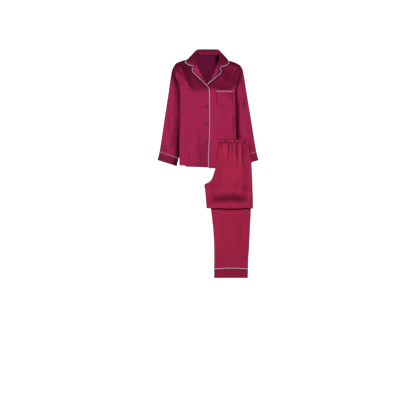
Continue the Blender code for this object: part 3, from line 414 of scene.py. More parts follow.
def resample(points, count):
    """An array of points, or of rows of points, read at count even places on a smooth curve through it."""
    points = np.asarray(points, dtype=float)
    at = np.linspace(0, len(points) - 1, count)
    i = np.clip(at.astype(int), 0, len(points) - 2)
    t = (at - i).reshape((-1,) + (1,) * (points.ndim - 1))
    before, start = points[np.maximum(i - 1, 0)], points[i]
    end, after = points[i + 1], points[np.minimum(i + 2, len(points) - 1)]
    return 0.5 * (2 * start + (end - before) * t + (2 * before - 5 * start + 4 * end - after) * t ** 2
                  + (3 * start - before - 3 * end + after) * t ** 3)


def even_route(points, step):
    """Points a step apart along a smooth curve through the given ones."""
    fine = resample(points, 24 * len(points))
    run = run_along(fine)
    at = np.linspace(0, run[-1], max(2, int(run[-1] / step) + 1))
    return points_of(*[np.interp(at, run, column) for column in fine.T])


def near_line(x, y, line):
    """Distance from each place to a line of points, which side it is on, and its share along the line."""
    near = np.full(np.broadcast(x, y).shape, FAR_AWAY)
    side, along = np.zeros(near.shape), np.zeros(near.shape)
    for k, (start, end) in enumerate(zip(line, line[1:])):
        way_x, way_y = end - start
        from_x, from_y = x - start[0], y - start[1]
        t = np.clip((from_x * way_x + from_y * way_y) / (way_x ** 2 + way_y ** 2), 0, 1)
        gap = np.hypot(from_x - t * way_x, from_y - t * way_y)
        closer = gap < near
        near = np.where(closer, gap, near)
        side = np.where(closer, way_x * from_y - way_y * from_x, side)
        along = np.where(closer, (k + t) / (len(line) - 1), along)
    return near, side, along


def fold_field(creases, x, y):
    """Height that a table of creases adds at each place."""
    share = np.linspace(0, 1, 15)[:, None]
    total = 0.0
    for crease in creases:
        start, middle, end = np.array(crease[:6], dtype=float).reshape(3, 2)
        bend = 2 * middle - 0.5 * (start + end)
        line = (1 - share) ** 2 * start + 2 * share * (1 - share) * bend + share ** 2 * end
        near, side, along = near_line(x, y, line)
        width = np.where(side > 0, crease.left, crease.right)
        fade = ease(crease.start + along / 0.35) * ease((1 - along) / 0.6)
        total = total + crease.depth * fade * bell(near, width)
    return total


def ripple(x, y, size=1.0):
    """Faint unevenness of laid satin."""
    return size * (0.16 * np.sin(0.046 * x + 0.021 * y + 1.3) * np.sin(0.037 * y - 0.012 * x + 0.4)
                   + 0.10 * np.sin(0.081 * x - 0.047 * y + 2.1) * np.sin(0.019 * y + 0.033 * x)
                   + 0.06 * np.sin(0.148 * x + 0.061 * y) * np.sin(0.043 * y - 0.9))


def level_at(height):
    """A surface at one height."""
    return lambda x, y: height + 0.0 * x


def level_place(y):
    """A row at one place along Y."""
    return lambda x: y + 0.0 * x


# ---------------------------------------------------------------- heights of the shirt

def hem_line(x):
    return read(HEM_LINE, x)


def shoulder_line(x):
    return read(SHOULDER_LINE, x)


def side_edge(x, y):
    """Distance from the body's nearer side edge, less than 0 outside it."""
    return np.where(np.asarray(x) < 0, x - read(SIDE_RIGHT, y), read(SIDE_LEFT, y) - x)


def collar_zone(x, y):
    """1 where the hidden part of the collar lies under the back."""
    return ease((140 - abs(x + 4)) / 16) * ease((y - 596) / 18)


def front_face(x, y):
    """Height of the front's smooth face, rounded down to the side and shoulder seams."""
    loft = read(LOFT, y - read(CHEST_SHIFT, x))
    loft = loft + SIDE_RISE * ease((18 - x) / 120) * ease((250 - y) / 180)
    loft = loft - SIDE_CHEST_FALL * ease((y - 438) / 64) * ease((-88 - x) / 24)
    edge = read(EDGE_LEVEL, y)
    face = edge + (loft - edge) * rounded(side_edge(x, y) / read(EDGE_WIDTH, y))
    seam = SIDE_SEAM_HEIGHT + COLLAR_LIFT * collar_zone(x, 645.0)
    return seam + (face - seam) * rounded((shoulder_line(x) - y) / SHOULDER_ROLL)


def pressed(x, y):
    """Narrow hollow pressed into the front along the outer side of the collar's and lapels' edges."""
    deepest = 0.0
    for marks, depth in PRESSED_EDGES:
        near, _, _ = near_line(x, y, even_route([(mark.x, mark.y) for mark in marks], 6.0))
        deepest = np.maximum(deepest, depth * bell(near - 4.6, 2.6))
    return deepest


def shirt_top(x, y):
    """The front's face with its folds and its turned-up hem."""
    fade = ease(side_edge(x, y) / 12) * ease((shoulder_line(x) - y) / 16)
    folds = fade * (fold_field(SHIRT_CREASES, x, y) + ripple(x, y)) - pressed(x, y)
    up = y - hem_line(x) - HEM_DEPTH
    return front_face(x, y) + folds + 0.45 * (1 - ease(up / 1.6)) - 0.3 * bell(up, 1.3)


def left_top(x, y):
    """The left front dips where the right front laps over it."""
    return shirt_top(x, y) - FRONT_LAP * (1 - ease((x - 12) / 50))


def piped_top(x, y):
    """Cloth under the right front's piping: the left front below the break, the right front above."""
    return mix(left_top(x, y), shirt_top(x, y), ease((y - BREAK_LINE) / 16))


def shoulder_top(x, y):
    """The front's face, carried on level past the shoulder seam."""
    return shirt_top(x, np.minimum(y, shoulder_line(x) - 1.0))


# ---------------------------------------------------------------- materials

def add_node(tree, kind, inputs=None, **settings):
    """New node with values for its inputs and its settings."""
    made = tree.nodes.new(kind)
    for key, value in settings.items():
        setattr(made, key, value)
    for key, value in (inputs or {}).items():
        made.inputs[key].default_value = value
    return made


def link(tree, start, out, end, into):
    tree.links.new(start.outputs[out], end.inputs[into])


def shader_nodes(name, inputs):
    """New material with a Principled shader, and the node tree to add to."""
    made = bpy.data.materials.new(name)
    made.use_nodes = True
    shader = made.node_tree.nodes["Principled BSDF"]
    for key, value in {"Coat Roughness": 0.12, **inputs}.items():
        shader.inputs[key].default_value = value
    return made, made.node_tree, shader


def texture(tree, kind, inputs, source="Object", scale=(1, 1, 1), **settings):
    """Texture node on scaled object or UV coordinates."""
    made = add_node(tree, kind, inputs, **settings)
    mapping = add_node(tree, "ShaderNodeMapping", {"Scale": scale})
    link(tree, add_node(tree, "ShaderNodeTexCoord"), source, mapping, "Vector")
    link(tree, mapping, "Vector", made, "Vector")
    return made


def shade_ramp(tree, start, out, colour, dark, light, ends=(0.0, 1.0)):
    """Ramp from a darker to a lighter shade of a colour."""
    ramp = add_node(tree, "ShaderNodeValToRGB")
    for stop, place, share in zip(ramp.color_ramp.elements, ends, (dark, light)):
        stop.position = place
        stop.color = (*[min(1.0, value * share) for value in colour], 1)
    link(tree, start, out, ramp, "Fac")
    return ramp


def relief(tree, height, shader, strength, distance):
    """Bump node from a texture into a shader's or another bump's normal."""
    bump = add_node(tree, "ShaderNodeBump", {"Strength": strength, "Distance": distance})
    link(tree, height, "Fac", bump, "Height")
    link(tree, bump, "Normal", shader, "Normal")
    return bump


def satin_material(name, colour, sheen=True):
    """Satin: fine warp floats, faint long streaks and soft mottling; the reverse side is matt."""
    cloth = bpy.context.scene.pyjama_cloth
    right_side = {
        "Metallic": cloth.satin_lustre, "Roughness": cloth.satin_roughness, "Specular IOR Level": 0.12,
        "Sheen Weight": 0.35, "Sheen Roughness": 0.3, "Sheen Tint": (0.75, 0.06, 0.18, 1.0),
    }
    matt_side = {"Metallic": 0.35, "Roughness": 0.46, "Specular IOR Level": 0.1}
    tint = (*[min(1.0, value * 2.4) for value in colour], 1.0)
    made, tree, shader = shader_nodes(name, {"Specular Tint": tint, **(right_side if sheen else matt_side)})
    mottle = texture(tree, "ShaderNodeTexNoise", {"Scale": 9.0, "Detail": 3.0})
    streak = texture(tree, "ShaderNodeTexNoise", {"Scale": 1.0, "Detail": 2.0}, "UV", (420, 22, 1))
    both = add_node(tree, "ShaderNodeMath", operation="ADD")
    half = add_node(tree, "ShaderNodeMath", {1: 0.5}, operation="MULTIPLY")
    link(tree, mottle, "Fac", both, 0)
    link(tree, streak, "Fac", both, 1)
    link(tree, both, "Value", half, 0)
    ramp = shade_ramp(tree, half, "Value", colour, 0.93, 1.07, (0.25, 0.75))
    # Painted shade and painted highlight: the shade attribute scales the base colour, darker over 0 and
    # lighter under 0.
    held = add_node(tree, "ShaderNodeAttribute", attribute_name="shade")
    lit = add_node(tree, "ShaderNodeMath", {0: 1.0}, operation="SUBTRACT")
    dimmed = add_node(tree, "ShaderNodeVectorMath", operation="SCALE")
    link(tree, held, "Fac", lit, 1)
    link(tree, ramp, "Color", dimmed, "Vector")
    link(tree, lit, "Value", dimmed, "Scale")
    link(tree, dimmed, "Vector", shader, "Base Color")
    weave = texture(tree, "ShaderNodeTexWave", {"Scale": 1.0, "Distortion": 1.5}, "UV", (1900, 700, 1),
                    bands_direction="DIAGONAL")
    soft = texture(tree, "ShaderNodeTexNoise", {"Scale": 26.0, "Detail": 2.0}, scale=(1, 0.6, 1))
    relief(tree, soft, relief(tree, weave, shader, 0.12, 0.00006), 0.25, 0.0006)
    return made


def cord_material(name, colour):
    """Pale bias-cut satin over a cord, with fine slanting threads."""
    made, tree, shader = shader_nodes(name, {"Metallic": 0.0, "Roughness": 0.42})
    threads = texture(tree, "ShaderNodeTexWave", {"Scale": 420.0, "Distortion": 2.0},
                      bands_direction="DIAGONAL")
    link(tree, shade_ramp(tree, threads, "Fac", colour, 0.82, 1.08), "Color", shader, "Base Color")
    relief(tree, threads, shader, 0.3, 0.0001)
    return made


def button_material(name, colour):
    """Polished resin with a faint swirl."""
    made, tree, shader = shader_nodes(name, {
        "Metallic": 0.0, "Roughness": 0.3, "Coat Weight": 0.03, "Specular IOR Level": 0.12})
    swirl = texture(tree, "ShaderNodeTexNoise", {"Scale": 240.0, "Distortion": 2.5})
    link(tree, shade_ramp(tree, swirl, "Fac", colour, 0.7, 1.5, (0.3, 0.7)), "Color", shader, "Base Color")
    return made


def thread_material(name, colour):
    """Sewing thread, twisted from fine strands."""
    made, tree, shader = shader_nodes(name, {"Metallic": 0.0, "Roughness": 0.5})
    twist = texture(tree, "ShaderNodeTexNoise", {"Scale": 900.0})
    link(tree, shade_ramp(tree, twist, "Fac", colour, 0.8, 1.25), "Color", shader, "Base Color")
    return made


def finish(kind):
    """The shared material of a kind, made when it is first asked for."""
    found = bpy.data.materials.get(kind)
    if found:
        return found
    cloth = bpy.context.scene.pyjama_cloth
    # Copies of the satin: the cross-grain ones are painted darker, a painted shade standing in for the
    # weaker sheen of satin cut across its grain; the collar's is painted lighter, a painted highlight.
    satins = {
        "crimson_satin": (cloth.satin_colour, 1.0),
        "satin_across": (cloth.satin_colour, cloth.across_painted_shade),
        "collar_satin": (cloth.satin_colour, cloth.bias_painted_highlight),
        "trouser_satin": (cloth.trouser_colour, 1.0),
        "trouser_satin_across": (cloth.trouser_colour, cloth.across_painted_shade),
    }
    if kind in satins:
        colour, share = satins[kind]
        return satin_material(kind, [value * share for value in colour])
    if kind == "satin_reverse":
        return satin_material(kind, cloth.reverse_colour, sheen=False)
    if kind == "pale_piping":
        return cord_material(kind, cloth.piping_colour)
    if kind == "burgundy_button":
        return button_material(kind, cloth.button_colour)
    return thread_material(kind, cloth.thread_colour)


# ---------------------------------------------------------------- meshes

def settle(piece):
    """Let the finished piece ride on the set."""
    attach(piece, BODY)
    return piece


def declare(cad):
    """Hide the CAD nodes that the cloth stands for."""
    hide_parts(*cad)


def put(name, data, *kinds):
    """New object in the scene with the mesh and its materials."""
    for kind in kinds:
        data.materials.append(finish(kind))
    made = bpy.data.objects.new(name, data)
    bpy.context.scene.collection.objects.link(made)
    return made


def mesh_data(name, mesh):
    """Mesh data from a bmesh, which is freed."""
    data = bpy.data.meshes.new(name)
    mesh.to_mesh(data)
    mesh.free()
    return data


def mended(data, normals=True):
    """The mesh data with its doubled places merged, and its faces turned outward if asked."""
    mesh = bmesh.new()
    mesh.from_mesh(data)
    bmesh.ops.remove_doubles(mesh, verts=mesh.verts, dist=MERGE_DISTANCE)
    if normals:
        bmesh.ops.recalc_face_normals(mesh, faces=mesh.faces)
    mesh.to_mesh(data)
    mesh.free()
    data.shade_smooth()
    return data


def evaluated_mesh(piece):
    bpy.context.view_layer.update()
    return bpy.data.meshes.new_from_object(piece.evaluated_get(bpy.context.evaluated_depsgraph_get()))


def plain(piece):
    """The object with its modifiers made real, as a new plain mesh."""
    shape = evaluated_mesh(piece)
    piece.modifiers.clear()
    piece.data = shape
    return piece


def cloth_piece(name, points, uv=None, flip=False, closed=False, kinds=SHIRT_KINDS, wall=None,
                shade=None):
    """Thin cloth shell on a grid of points in millimetres, with its weave's own UV map.

    uv is the places of the points on the flat cloth, their plan unless given. shade is painted shade from 0
    to 1 that darkens the cloth's colour where deep folds and gaps hold shade; under 0 it is a painted
    highlight that lightens it.
    """
    uv = points[..., :2] if uv is None else uv
    rows, columns = points.shape[:2]
    index = np.arange(rows * columns).reshape(rows, columns)
    faces = np.stack([index[:-1, :-1], index[:-1, 1:], index[1:, 1:], index[1:, :-1]], -1).reshape(-1, 4)
    data = bpy.data.meshes.new(name + "_cloth")
    data.from_pydata((points.reshape(-1, 3) * MM).tolist(), [], faces[:, ::-1 if flip else 1].tolist())
    layer = data.uv_layers.new(name="UVMap")
    corners = np.empty(len(data.loops), dtype=np.int32)
    data.loops.foreach_get("vertex_index", corners)
    layer.data.foreach_set("uv", (uv.reshape(-1, 2) * MM)[corners].ravel())
    # Store the painted shade and painted highlight at each point.
    if shade is not None:
        held = data.attributes.new("shade", "FLOAT", "POINT")
        held.data.foreach_set("value", np.clip(shade, -1, 1).astype(np.float32).ravel())
    if closed:
        mended(data, normals=False)
    data.shade_smooth()
    piece = put(name + "_cloth", data, *kinds)
    solid = piece.modifiers.new("Cloth", "SOLIDIFY")
    solid.thickness = (wall or bpy.context.scene.pyjama_cloth.thickness * 1000) * MM
    solid.offset = -1
    solid.material_offset = 1
    solid.material_offset_rim = 0
    plain(piece)
    piece.data.set_sharp_from_angle(angle=math.radians(CLOTH_ANGLE))
    return settle(piece)


def solid_piece(name, rings, kind):
    """Closed solid through rings of points in millimetres, with flat ends."""
    mesh = bmesh.new()
    loops = [[mesh.verts.new(Vector(point) * MM) for point in ring] for ring in rings.tolist()]
    for low, high in zip(loops, loops[1:]):
        for i in range(len(low)):
            j = (i + 1) % len(low)
            mesh.faces.new((low[i], low[j], high[j], high[i]))
    mesh.faces.new(list(reversed(loops[0])))
    mesh.faces.new(loops[-1])
    bmesh.ops.recalc_face_normals(mesh, faces=mesh.faces)
    data = mesh_data(name, mesh)
    layer = data.uv_layers.new(name="UVMap")
    for loop in data.loops:
        layer.data[loop.index].uv = data.vertices[loop.vertex_index].co.xy
    data.shade_smooth()
    data.set_sharp_from_angle(angle=math.radians(CLOTH_ANGLE))
    return settle(put(name + "_cloth", data, kind))


def strand(name, route, radius, resolution, closed=False):
    """Mesh of a round strand along a route in millimetres."""
    data = bpy.data.curves.new(name, "CURVE")
    data.dimensions = "3D"
    data.bevel_depth = radius * MM
    data.bevel_resolution = resolution
    data.use_fill_caps = not closed
    spline = data.splines.new("POLY")
    spline.points.add(len(route) - 1)
    for point, place in zip(spline.points, route):
        point.co = (*(Vector(place) * MM), 1.0)
    spline.use_cyclic_u = closed
    curve = bpy.data.objects.new(name + "_curve", data)
    bpy.context.scene.collection.objects.link(curve)
    shape = evaluated_mesh(curve)
    bpy.data.objects.remove(curve)
    shape.shade_smooth()
    shape.materials.clear()
    return shape


def cord_piece(name, route, radius, closed=False):
    """Round piping through a route in millimetres."""
    piece = put(name + "_cord", mended(strand(name, route, radius, 3, closed)), "pale_piping")
    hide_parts(name)
    return settle(piece)


def mark_route(marks, under):
    """A piping's route: its marks joined smoothly, at their lift over the cloth under them."""
    x, y, lift = even_route(marks, 3.0).T
    return points_of(x, y, under(x, y) + lift)


# ---------------------------------------------------------------- shirt body

def edge_points(edge, share, hem_rise):
    """Where a panel's edge crosses each share of the way from hem to shoulder."""
    x = read(edge, mix(HEM_REACH, SHOULDER_TIP, share))
    for _ in range(12):
        x = read(edge, mix(hem_line(x) + hem_rise, shoulder_line(x), share))
    return x


def panel_grid(first, second, across, up, hem_rise):
    """Plan of a body panel's grid, from one edge table to the other and from hem to shoulder."""
    start, end = [edge_points(edge, up, hem_rise)[:, None] for edge in (first, second)]
    x = start + (end - start) * across
    return x, mix(hem_line(x) + hem_rise, shoulder_line(x), up[:, None])


def shares(count, fine_start=(), fine_end=()):
    """Even shares from 0 to 1 with extra ones near the ends."""
    return np.unique(np.concatenate([np.linspace(0, 1, count), fine_start, fine_end]))


def chest_painted_light(x, y):
    """Softens the step from the chest's lit side to the shaded hollow beside the right lapel with painted
    shade on the lit side and a painted highlight in the hollow.
    """
    return 0.13 * bell(x + 160, 26) * bell(y - 504, 28) - 0.14 * bell(x + 120, 24) * bell(y - 530, 42)


def button_painted_shade(x, y):
    """Painted shade on the cloth round each button."""
    return 0.34 * sum(bell(np.hypot(x - BUTTON_X, y - row), 9.5) for row in BUTTON_ROWS)


def neck_painted_shadow(x, y):
    """Painted shadow between the back and the left side of the collar's stand."""
    return 0.94 * ease((x - 38) / 16) * ease((y - 592) / 22) * ease((668 - y) / 26)


def back_top(x, y):
    """The back lies up on the tucked sleeves and on the hidden collar, and is creased inside the neck."""
    on_sleeve = ease((abs(x) - 112) / 30) * ease((442 - y) / 22)
    lift = BACK_LIFT * on_sleeve + COLLAR_LIFT * collar_zone(x, y)
    creased = 0.35 * np.sin(0.11 * x + 0.02 * y) * ease((y - 430) / 60) * ease((105 - abs(x)) / 30)
    hollow = 2.6 * ease((56 - x) / 20) * ease((x + 96) / 20) * ease((y - 560) / 40)
    return lift + CLOTH + creased + hollow + 0.3 * ease((y - 430) / 60)


def build_body():
    across = shares(62, (0.002, 0.006, 0.011, 0.022), (0.992, 0.997))
    up = shares(130, np.linspace(0, 0.045, 30), (0.994, 0.997, 0.999))
    x, y = panel_grid(SIDE_RIGHT, CENTRE_RIGHT, across, up, 0.0)
    # The right front carries painted shade and a painted highlight on the chest, and painted shade round
    # the buttons.
    front = cloth_piece("shirt_front_right", points_of(x, y, shirt_top(x, y)),
                        shade=chest_painted_light(x, y) + button_painted_shade(x, y))
    declare(["shirt_front_right"])
    x, y = panel_grid(SIDE_LEFT, CENTRE_LEFT, across, up, LEFT_HEM_TUCK)
    front = cloth_piece("shirt_front_left", points_of(x, y, left_top(x, y)), flip=True)
    declare(["shirt_front_left"])
    x, y = panel_grid(SIDE_RIGHT, SIDE_LEFT, shares(60), shares(90), HEM_TUCK)
    # The back carries painted shadow inside the neck.
    back = cloth_piece("shirt_back", points_of(x, y, back_top(x, y)), kinds=SHIRT_KINDS[::-1],
                       shade=neck_painted_shadow(x, y))
    declare(["shirt_back"])


# ---------------------------------------------------------------- lapels and collar

def lapel_grid(rows, under):
    """A lapel from its roll, under the neck edge and over it, out to its piped edge."""
    lines = resample(np.array(rows, dtype=float), 60)
    roll, tip = lines[:, None, 0:2], lines[:, None, 2:4]
    out = (roll - tip) / np.linalg.norm(roll - tip, axis=-1, keepdims=True)
    turn = np.radians([-90, -60, -30, 0, 30, 60])
    share = np.linspace(0, 1, 26)
    around = roll + out * ROLL_RADIUS * 1.4 * np.cos(turn)[:, None]
    plan = np.concatenate([around, roll + (tip - roll) * share[:, None]], axis=1)
    base = under(plan[..., 0], plan[..., 1])
    base[:, :len(turn)] = under(roll[..., 0], roll[..., 1])
    full = LAPEL_LOFT * np.sin(math.pi * share ** 0.8) * (1 - share ** 4 * 0.5)
    rise = LAY_GAP + ROLL_RADIUS * np.concatenate([np.sin(turn), np.ones(len(share))])
    rise = rise + np.concatenate([np.zeros(len(turn)), full])
    up = np.linspace(0, 1, len(lines))[:, None]
    lift = mix(LAPEL_RISE_ROLL, LAPEL_RISE_TIP, np.concatenate([np.zeros(len(turn)), share]))
    return points_of(plan[..., 0], plan[..., 1], base + rise + up * lift)


def build_lapels():
    points = lapel_grid(LAPEL_RIGHT_ROWS, shirt_top)
    # Each lapel's colour is painted lighter all over: a painted highlight.
    lapel_painted_highlight = np.full(points.shape[:2], -LAPEL_PAINTED_HIGHLIGHT_RIGHT)
    lapel = cloth_piece("lapel_right", points, flip=True, shade=lapel_painted_highlight)
    declare(["lapel_right"])
    points = lapel_grid(LAPEL_LEFT_ROWS, left_top)
    lapel_painted_highlight = np.full(points.shape[:2], -LAPEL_PAINTED_HIGHLIGHT_LEFT)
    lapel = cloth_piece("lapel_left", points, shade=lapel_painted_highlight)
    declare(["lapel_left"])


def collar_section(row):
    """Places from the neck seam over the roll to the collar's outer edge, and turned under there."""
    neck, roll, fold = Vector(row[0:3]), Vector(row[3:6]), Vector(row[6:9])
    on_body = row.under_x is None
    flat_out = Vector((*(fold - roll).normalized().xy, 0)).normalized()
    if row.roll_y > 678:
        stand = neck.lerp(roll, 0.8) - UPRIGHT * 0.8
    elif row.neck_x > 0:
        stand = neck.lerp(roll, 0.62) - UPRIGHT * 1.7
    else:
        stand = neck.lerp(roll, 0.75)
    lean = min(1.0, max(0.0, (632 - row.roll_y) / 27)) if on_body else 0.0
    bow = Vector((0, -COLLAR_BOW * lean, 0))
    leaf = [roll.lerp(fold, k / 6) + bow * math.sin(math.pi * (k / 6) ** 0.75) for k in range(1, 7)]
    if on_body:
        side = fold + flat_out * 0.7 - UPRIGHT * 0.7
        foot = fold - UPRIGHT * 1.5
        under = fold - flat_out * 4.0 - UPRIGHT * 1.7
    else:
        side = fold + flat_out * 1.6
        side.z = fold.z * 0.45
        foot = Vector((fold.x, fold.y, 0.1))
        under = Vector((row.under_x, row.under_y, 0.1))
    return [neck, stand, roll, *leaf, side, foot, foot.lerp(under, 0.5), under]


def build_collar():
    net = np.array([[list(point) for point in collar_section(row)] for row in COLLAR_ROWS])
    points = resample(resample(net, 113).transpose(1, 0, 2), 61)
    points[..., 2] = np.maximum(points[..., 2], 0.1)
    uv = points_of(np.linspace(0, COLLAR_AROUND, 113), np.linspace(0, COLLAR_DEPTH, 61)[:, None])
    # Painted shadow on the inner side of the collar's stand, beside the back.
    shade = neck_painted_shadow(points[..., 0], points[..., 1]) * (1 - ease((np.arange(61)[:, None] - 6.5) / 4))
    collar = cloth_piece("collar", points, uv, kinds=("collar_satin", "satin_reverse"), shade=shade)
    declare(["collar"])


# ---------------------------------------------------------------- sleeves and cuffs

def sleeve_sections(rows, left):
    """Outer and inner edges of a sleeve in plan at each row of its table."""
    sections = []
    for row in rows:
        outer_x, inner_x, shift = row.outer_x, row.inner_x, 0.0
        if left:
            shift = MIRROR_SHIFT_TOP * min(1.0, max(0.0, row.outer_y / SHOULDER_TIP))
            outer_x = -outer_x
        if inner_x is None:
            inner_x = float(read(SIDE_LEFT, row.inner_y)) + ARMHOLE_GAP if left else (
                float(read(SIDE_RIGHT, row.inner_y)) - ARMHOLE_GAP)
        elif left:
            inner_x = -inner_x - shift
        sections.append((outer_x - shift, row.outer_y, inner_x, row.inner_y))
    return np.array(sections)


def smooth_sections(sections, opened, step):
    """Sections about a step apart, each stretch of open or closed ones on a smooth curve of its own."""
    parts = []
    for part in (sections[:opened], sections[opened:]):
        if len(part) > 1:
            run = run_along(part[:, :2])
            at = np.linspace(0, run[-1], max(2, int(run[-1] / step) + 1))
            parts.append(points_of(*[curve_through(run, column, at) for column in part.T]))
    return np.concatenate(parts), len(parts[0]) if opened > 1 else 0


def tube_grid(sections, count_open, base, height, folds=None, across=44):
    """Points around a flat tube at each section, and the unrolled places for its weave."""
    outer, inner = sections[:, None, 0:2], sections[:, None, 2:4]
    width = np.linalg.norm(inner - outer, axis=-1)
    way = (inner - outer) / width[..., None]
    out_radius, in_radius = [
        np.minimum(height(edge[..., 0], edge[..., 1]) / 2, TUBE_ROLL) for edge in (outer, inner)]
    quarter = np.radians(np.linspace(0, 90, 5))[None, :]
    half = np.radians(np.linspace(-90, 90, 9))[None, 1:-1]
    flat = width - in_radius - out_radius
    down = np.linspace(1, 0, 10)[None, :]
    over = np.linspace(0, 1, across)[None, :]
    reach = np.concatenate([
        width - in_radius + in_radius * np.cos(quarter), out_radius + flat * down,
        out_radius - out_radius * np.cos(half), out_radius + flat * over,
        width - in_radius + in_radius * np.cos(quarter[:, ::-1]),
    ], axis=1)
    level = np.concatenate([
        0.5 - 0.5 * np.sin(quarter), 0 * down, 0.5 + 0.5 * np.sin(half), 0 * over + 1,
        0.5 + 0.5 * np.sin(quarter[:, ::-1]),
    ], axis=1)
    level = np.broadcast_to(level, reach.shape).copy()
    lips = len(quarter[0])
    lip_step = np.linspace(0, 0.5, lips)
    level[:count_open, :lips] = 0.0
    level[:count_open, -lips:] = 1.0
    reach[:count_open, :lips] = width[:count_open] - lip_step
    reach[:count_open, -lips:] = width[:count_open] + ARMHOLE_LAP * (1 - 2 * lip_step[::-1])
    spot = outer + way * reach[..., None]
    x, y = spot[..., 0], spot[..., 1]
    z = base(x, y) + level * height(x, y)
    if folds is not None:
        z = z + level ** 2 * folds(x, y) * ease((reach - 1.5) / 9)
    uv = points_of(np.where(level < 0.5, 2 * width - reach, reach), run_along(sections[:, :2])[:, None])
    return points_of(x, y, z), uv


def above_cuff(x, y):
    """Distance along Y above the slanting line of the cuff's seam."""
    return y - 33.0 - 0.356 * (abs(x) - 175.0)


def from_cuff_side(x, y):
    """Distance out from a cuff's side next to the body."""
    return abs(x) - 176 + 0.17 * above_cuff(x, y)


def sleeve_height(x, y):
    """A sleeve falls from its crown into a valley beside the body, and is pressed thin under it."""
    width, crown = [np.where(x > 0, read(VALLEY_LEFT, y, column), read(VALLEY_RIGHT, y, column))
                    for column in ("width", "crown")]
    crown = mix(CROWN_AT_CUFF, crown, ease(above_cuff(x, y) / 55))
    low = mix(TUCKED_HEIGHT, read(EDGE_LEVEL, y) - 1.0, ease((y - 430) / 20))
    out = np.clip(-side_edge(x, y) / width, 0, 1)
    return low + (crown - low) * (1 - (1 - out) ** 2)


def sleeve_folds(creases):
    def folds(x, y):
        outside = ease((-4 - side_edge(x, y)) / 10)
        return (fold_field(creases, x, y) + ripple(x, y, 1.3)) * np.where(
            y < UNDERARM, outside, ease((620 - y) / 30))
    return folds


def cuff_height(x, y):
    """A cuff stands more open towards its end, and is flat at the side next to the body."""
    top = CUFF_HEIGHT + np.where(x > 0, 1.8, 4.4) * np.clip(-above_cuff(x, y) / 50, 0, 1)
    inner = np.clip(from_cuff_side(x, y) / 36, 0, 1)
    return mix(CUFF_INNER_HEIGHT, top, 1 - (1 - inner) ** 2)


def sleeve_gap_painted_shade(x, y):
    """Painted shade in the gap between the body's side and a sleeve, deeper towards the hem."""
    gap = np.maximum(-side_edge(x, y), 0)
    return np.where(x < 0, 0.86, 0.75) * ease((290 - y) / 130) * bell(gap, mix(24, 8, ease((y - 45) / 80)))


def build_sleeves():
    for side, left, creases in (
            ("right", False, SLEEVE_RIGHT_CREASES), ("left", True, SLEEVE_LEFT_CREASES)):
        sections, opened = smooth_sections(sleeve_sections(SLEEVE_ROWS, left), 9, 5.0)
        points, uv = tube_grid(sections, opened, level_at(0.0), sleeve_height, sleeve_folds(creases))
        # Each sleeve carries painted shade in its gap beside the body.
        sleeve = cloth_piece(f"sleeve_{side}", points, uv, flip=not left, closed=True,
                             shade=sleeve_gap_painted_shade(points[..., 0], points[..., 1]))
        declare([f"sleeve_{side}"])


def tube_cord_route(section, height, radius):
    """Route of piping all round a flat tube's seam, under its lower layer and over its upper one."""
    outer, inner = np.array([*section[:2], 0.0]), np.array([*section[2:], 0.0])
    width = np.linalg.norm(inner - outer)
    way = (inner - outer) / width
    low = radius + 0.05

    def place(reach, level):
        return outer + way * reach + np.array([0, 0, level])

    def over(reach):
        return max(float(height(*place(reach, 0)[:2])) - 0.2, low + 0.2)

    def turn(reach, side, degrees):
        angle, bend = math.radians(degrees), (over(reach) - low) / 2
        return place(reach + side * TUBE_ROLL * math.cos(angle), low + bend + bend * math.sin(angle))

    start = TUBE_ROLL + 0.4
    end = width - start
    angles = range(66, -67, -22)
    return [
        *[place(reach, over(reach)) for reach in np.linspace(start, end, 30)],
        *[turn(end, 1, degrees) for degrees in angles],
        *[place(reach, low) for reach in np.linspace(end, start, 12)],
        *[turn(start, -1, degrees) for degrees in reversed(angles)],
    ]


def build_cuffs():
    radius = bpy.context.scene.pyjama_details.cuff_piping_width * 500
    for side, left in (("right", False), ("left", True)):
        sections, _ = smooth_sections(sleeve_sections(CUFF_ROWS, left), 0, 2.5)
        points, uv = tube_grid(sections, 0, level_at(0.0), cuff_height,
                               lambda x, y: ripple(2 * x, 2 * y, 1.6))
        seam = sleeve_sections(CUFF_SEAM, left)[0]
        cord = cord_piece(f"piping_cuff_{side}", tube_cord_route(seam, cuff_height, radius), radius, True)
        # Painted shade at the cuff's end next to the body.
        shade = 0.6 * (1 - ease(from_cuff_side(points[..., 0], points[..., 1]) / 24))
        cuff = cloth_piece(f"cuff_{side}", points, uv, flip=not left, closed=True,
                           kinds=("satin_across", "satin_reverse"), shade=shade)
        declare([f"cuff_{side}"])


# ---------------------------------------------------------------- pocket, piping and buttons

def pocket_plan(across, y):
    """Plan of the pocket's grid: its sides run in at its rounded lower corners."""
    depth = np.clip(1 - (y - POCKET_BOTTOM) / POCKET_CORNER, 0, 1)
    inset = (POCKET_CORNER * (1 - np.sqrt(1 - depth ** 2)) * 0.96)[:, None]
    return np.broadcast_arrays(mix(POCKET_LEFT + inset, POCKET_RIGHT - inset, across), y[:, None])


def pocket_share(x):
    """Share of the way across the pocket."""
    return (x - POCKET_LEFT) / (POCKET_RIGHT - POCKET_LEFT)


def pocket_seam_lift(x):
    """How far the pocket stands off the front at the seam of its band."""
    return POCKET_STEP + POCKET_FULLNESS * np.sin(math.pi * np.clip(pocket_share(x), 0, 1) ** 1.15)


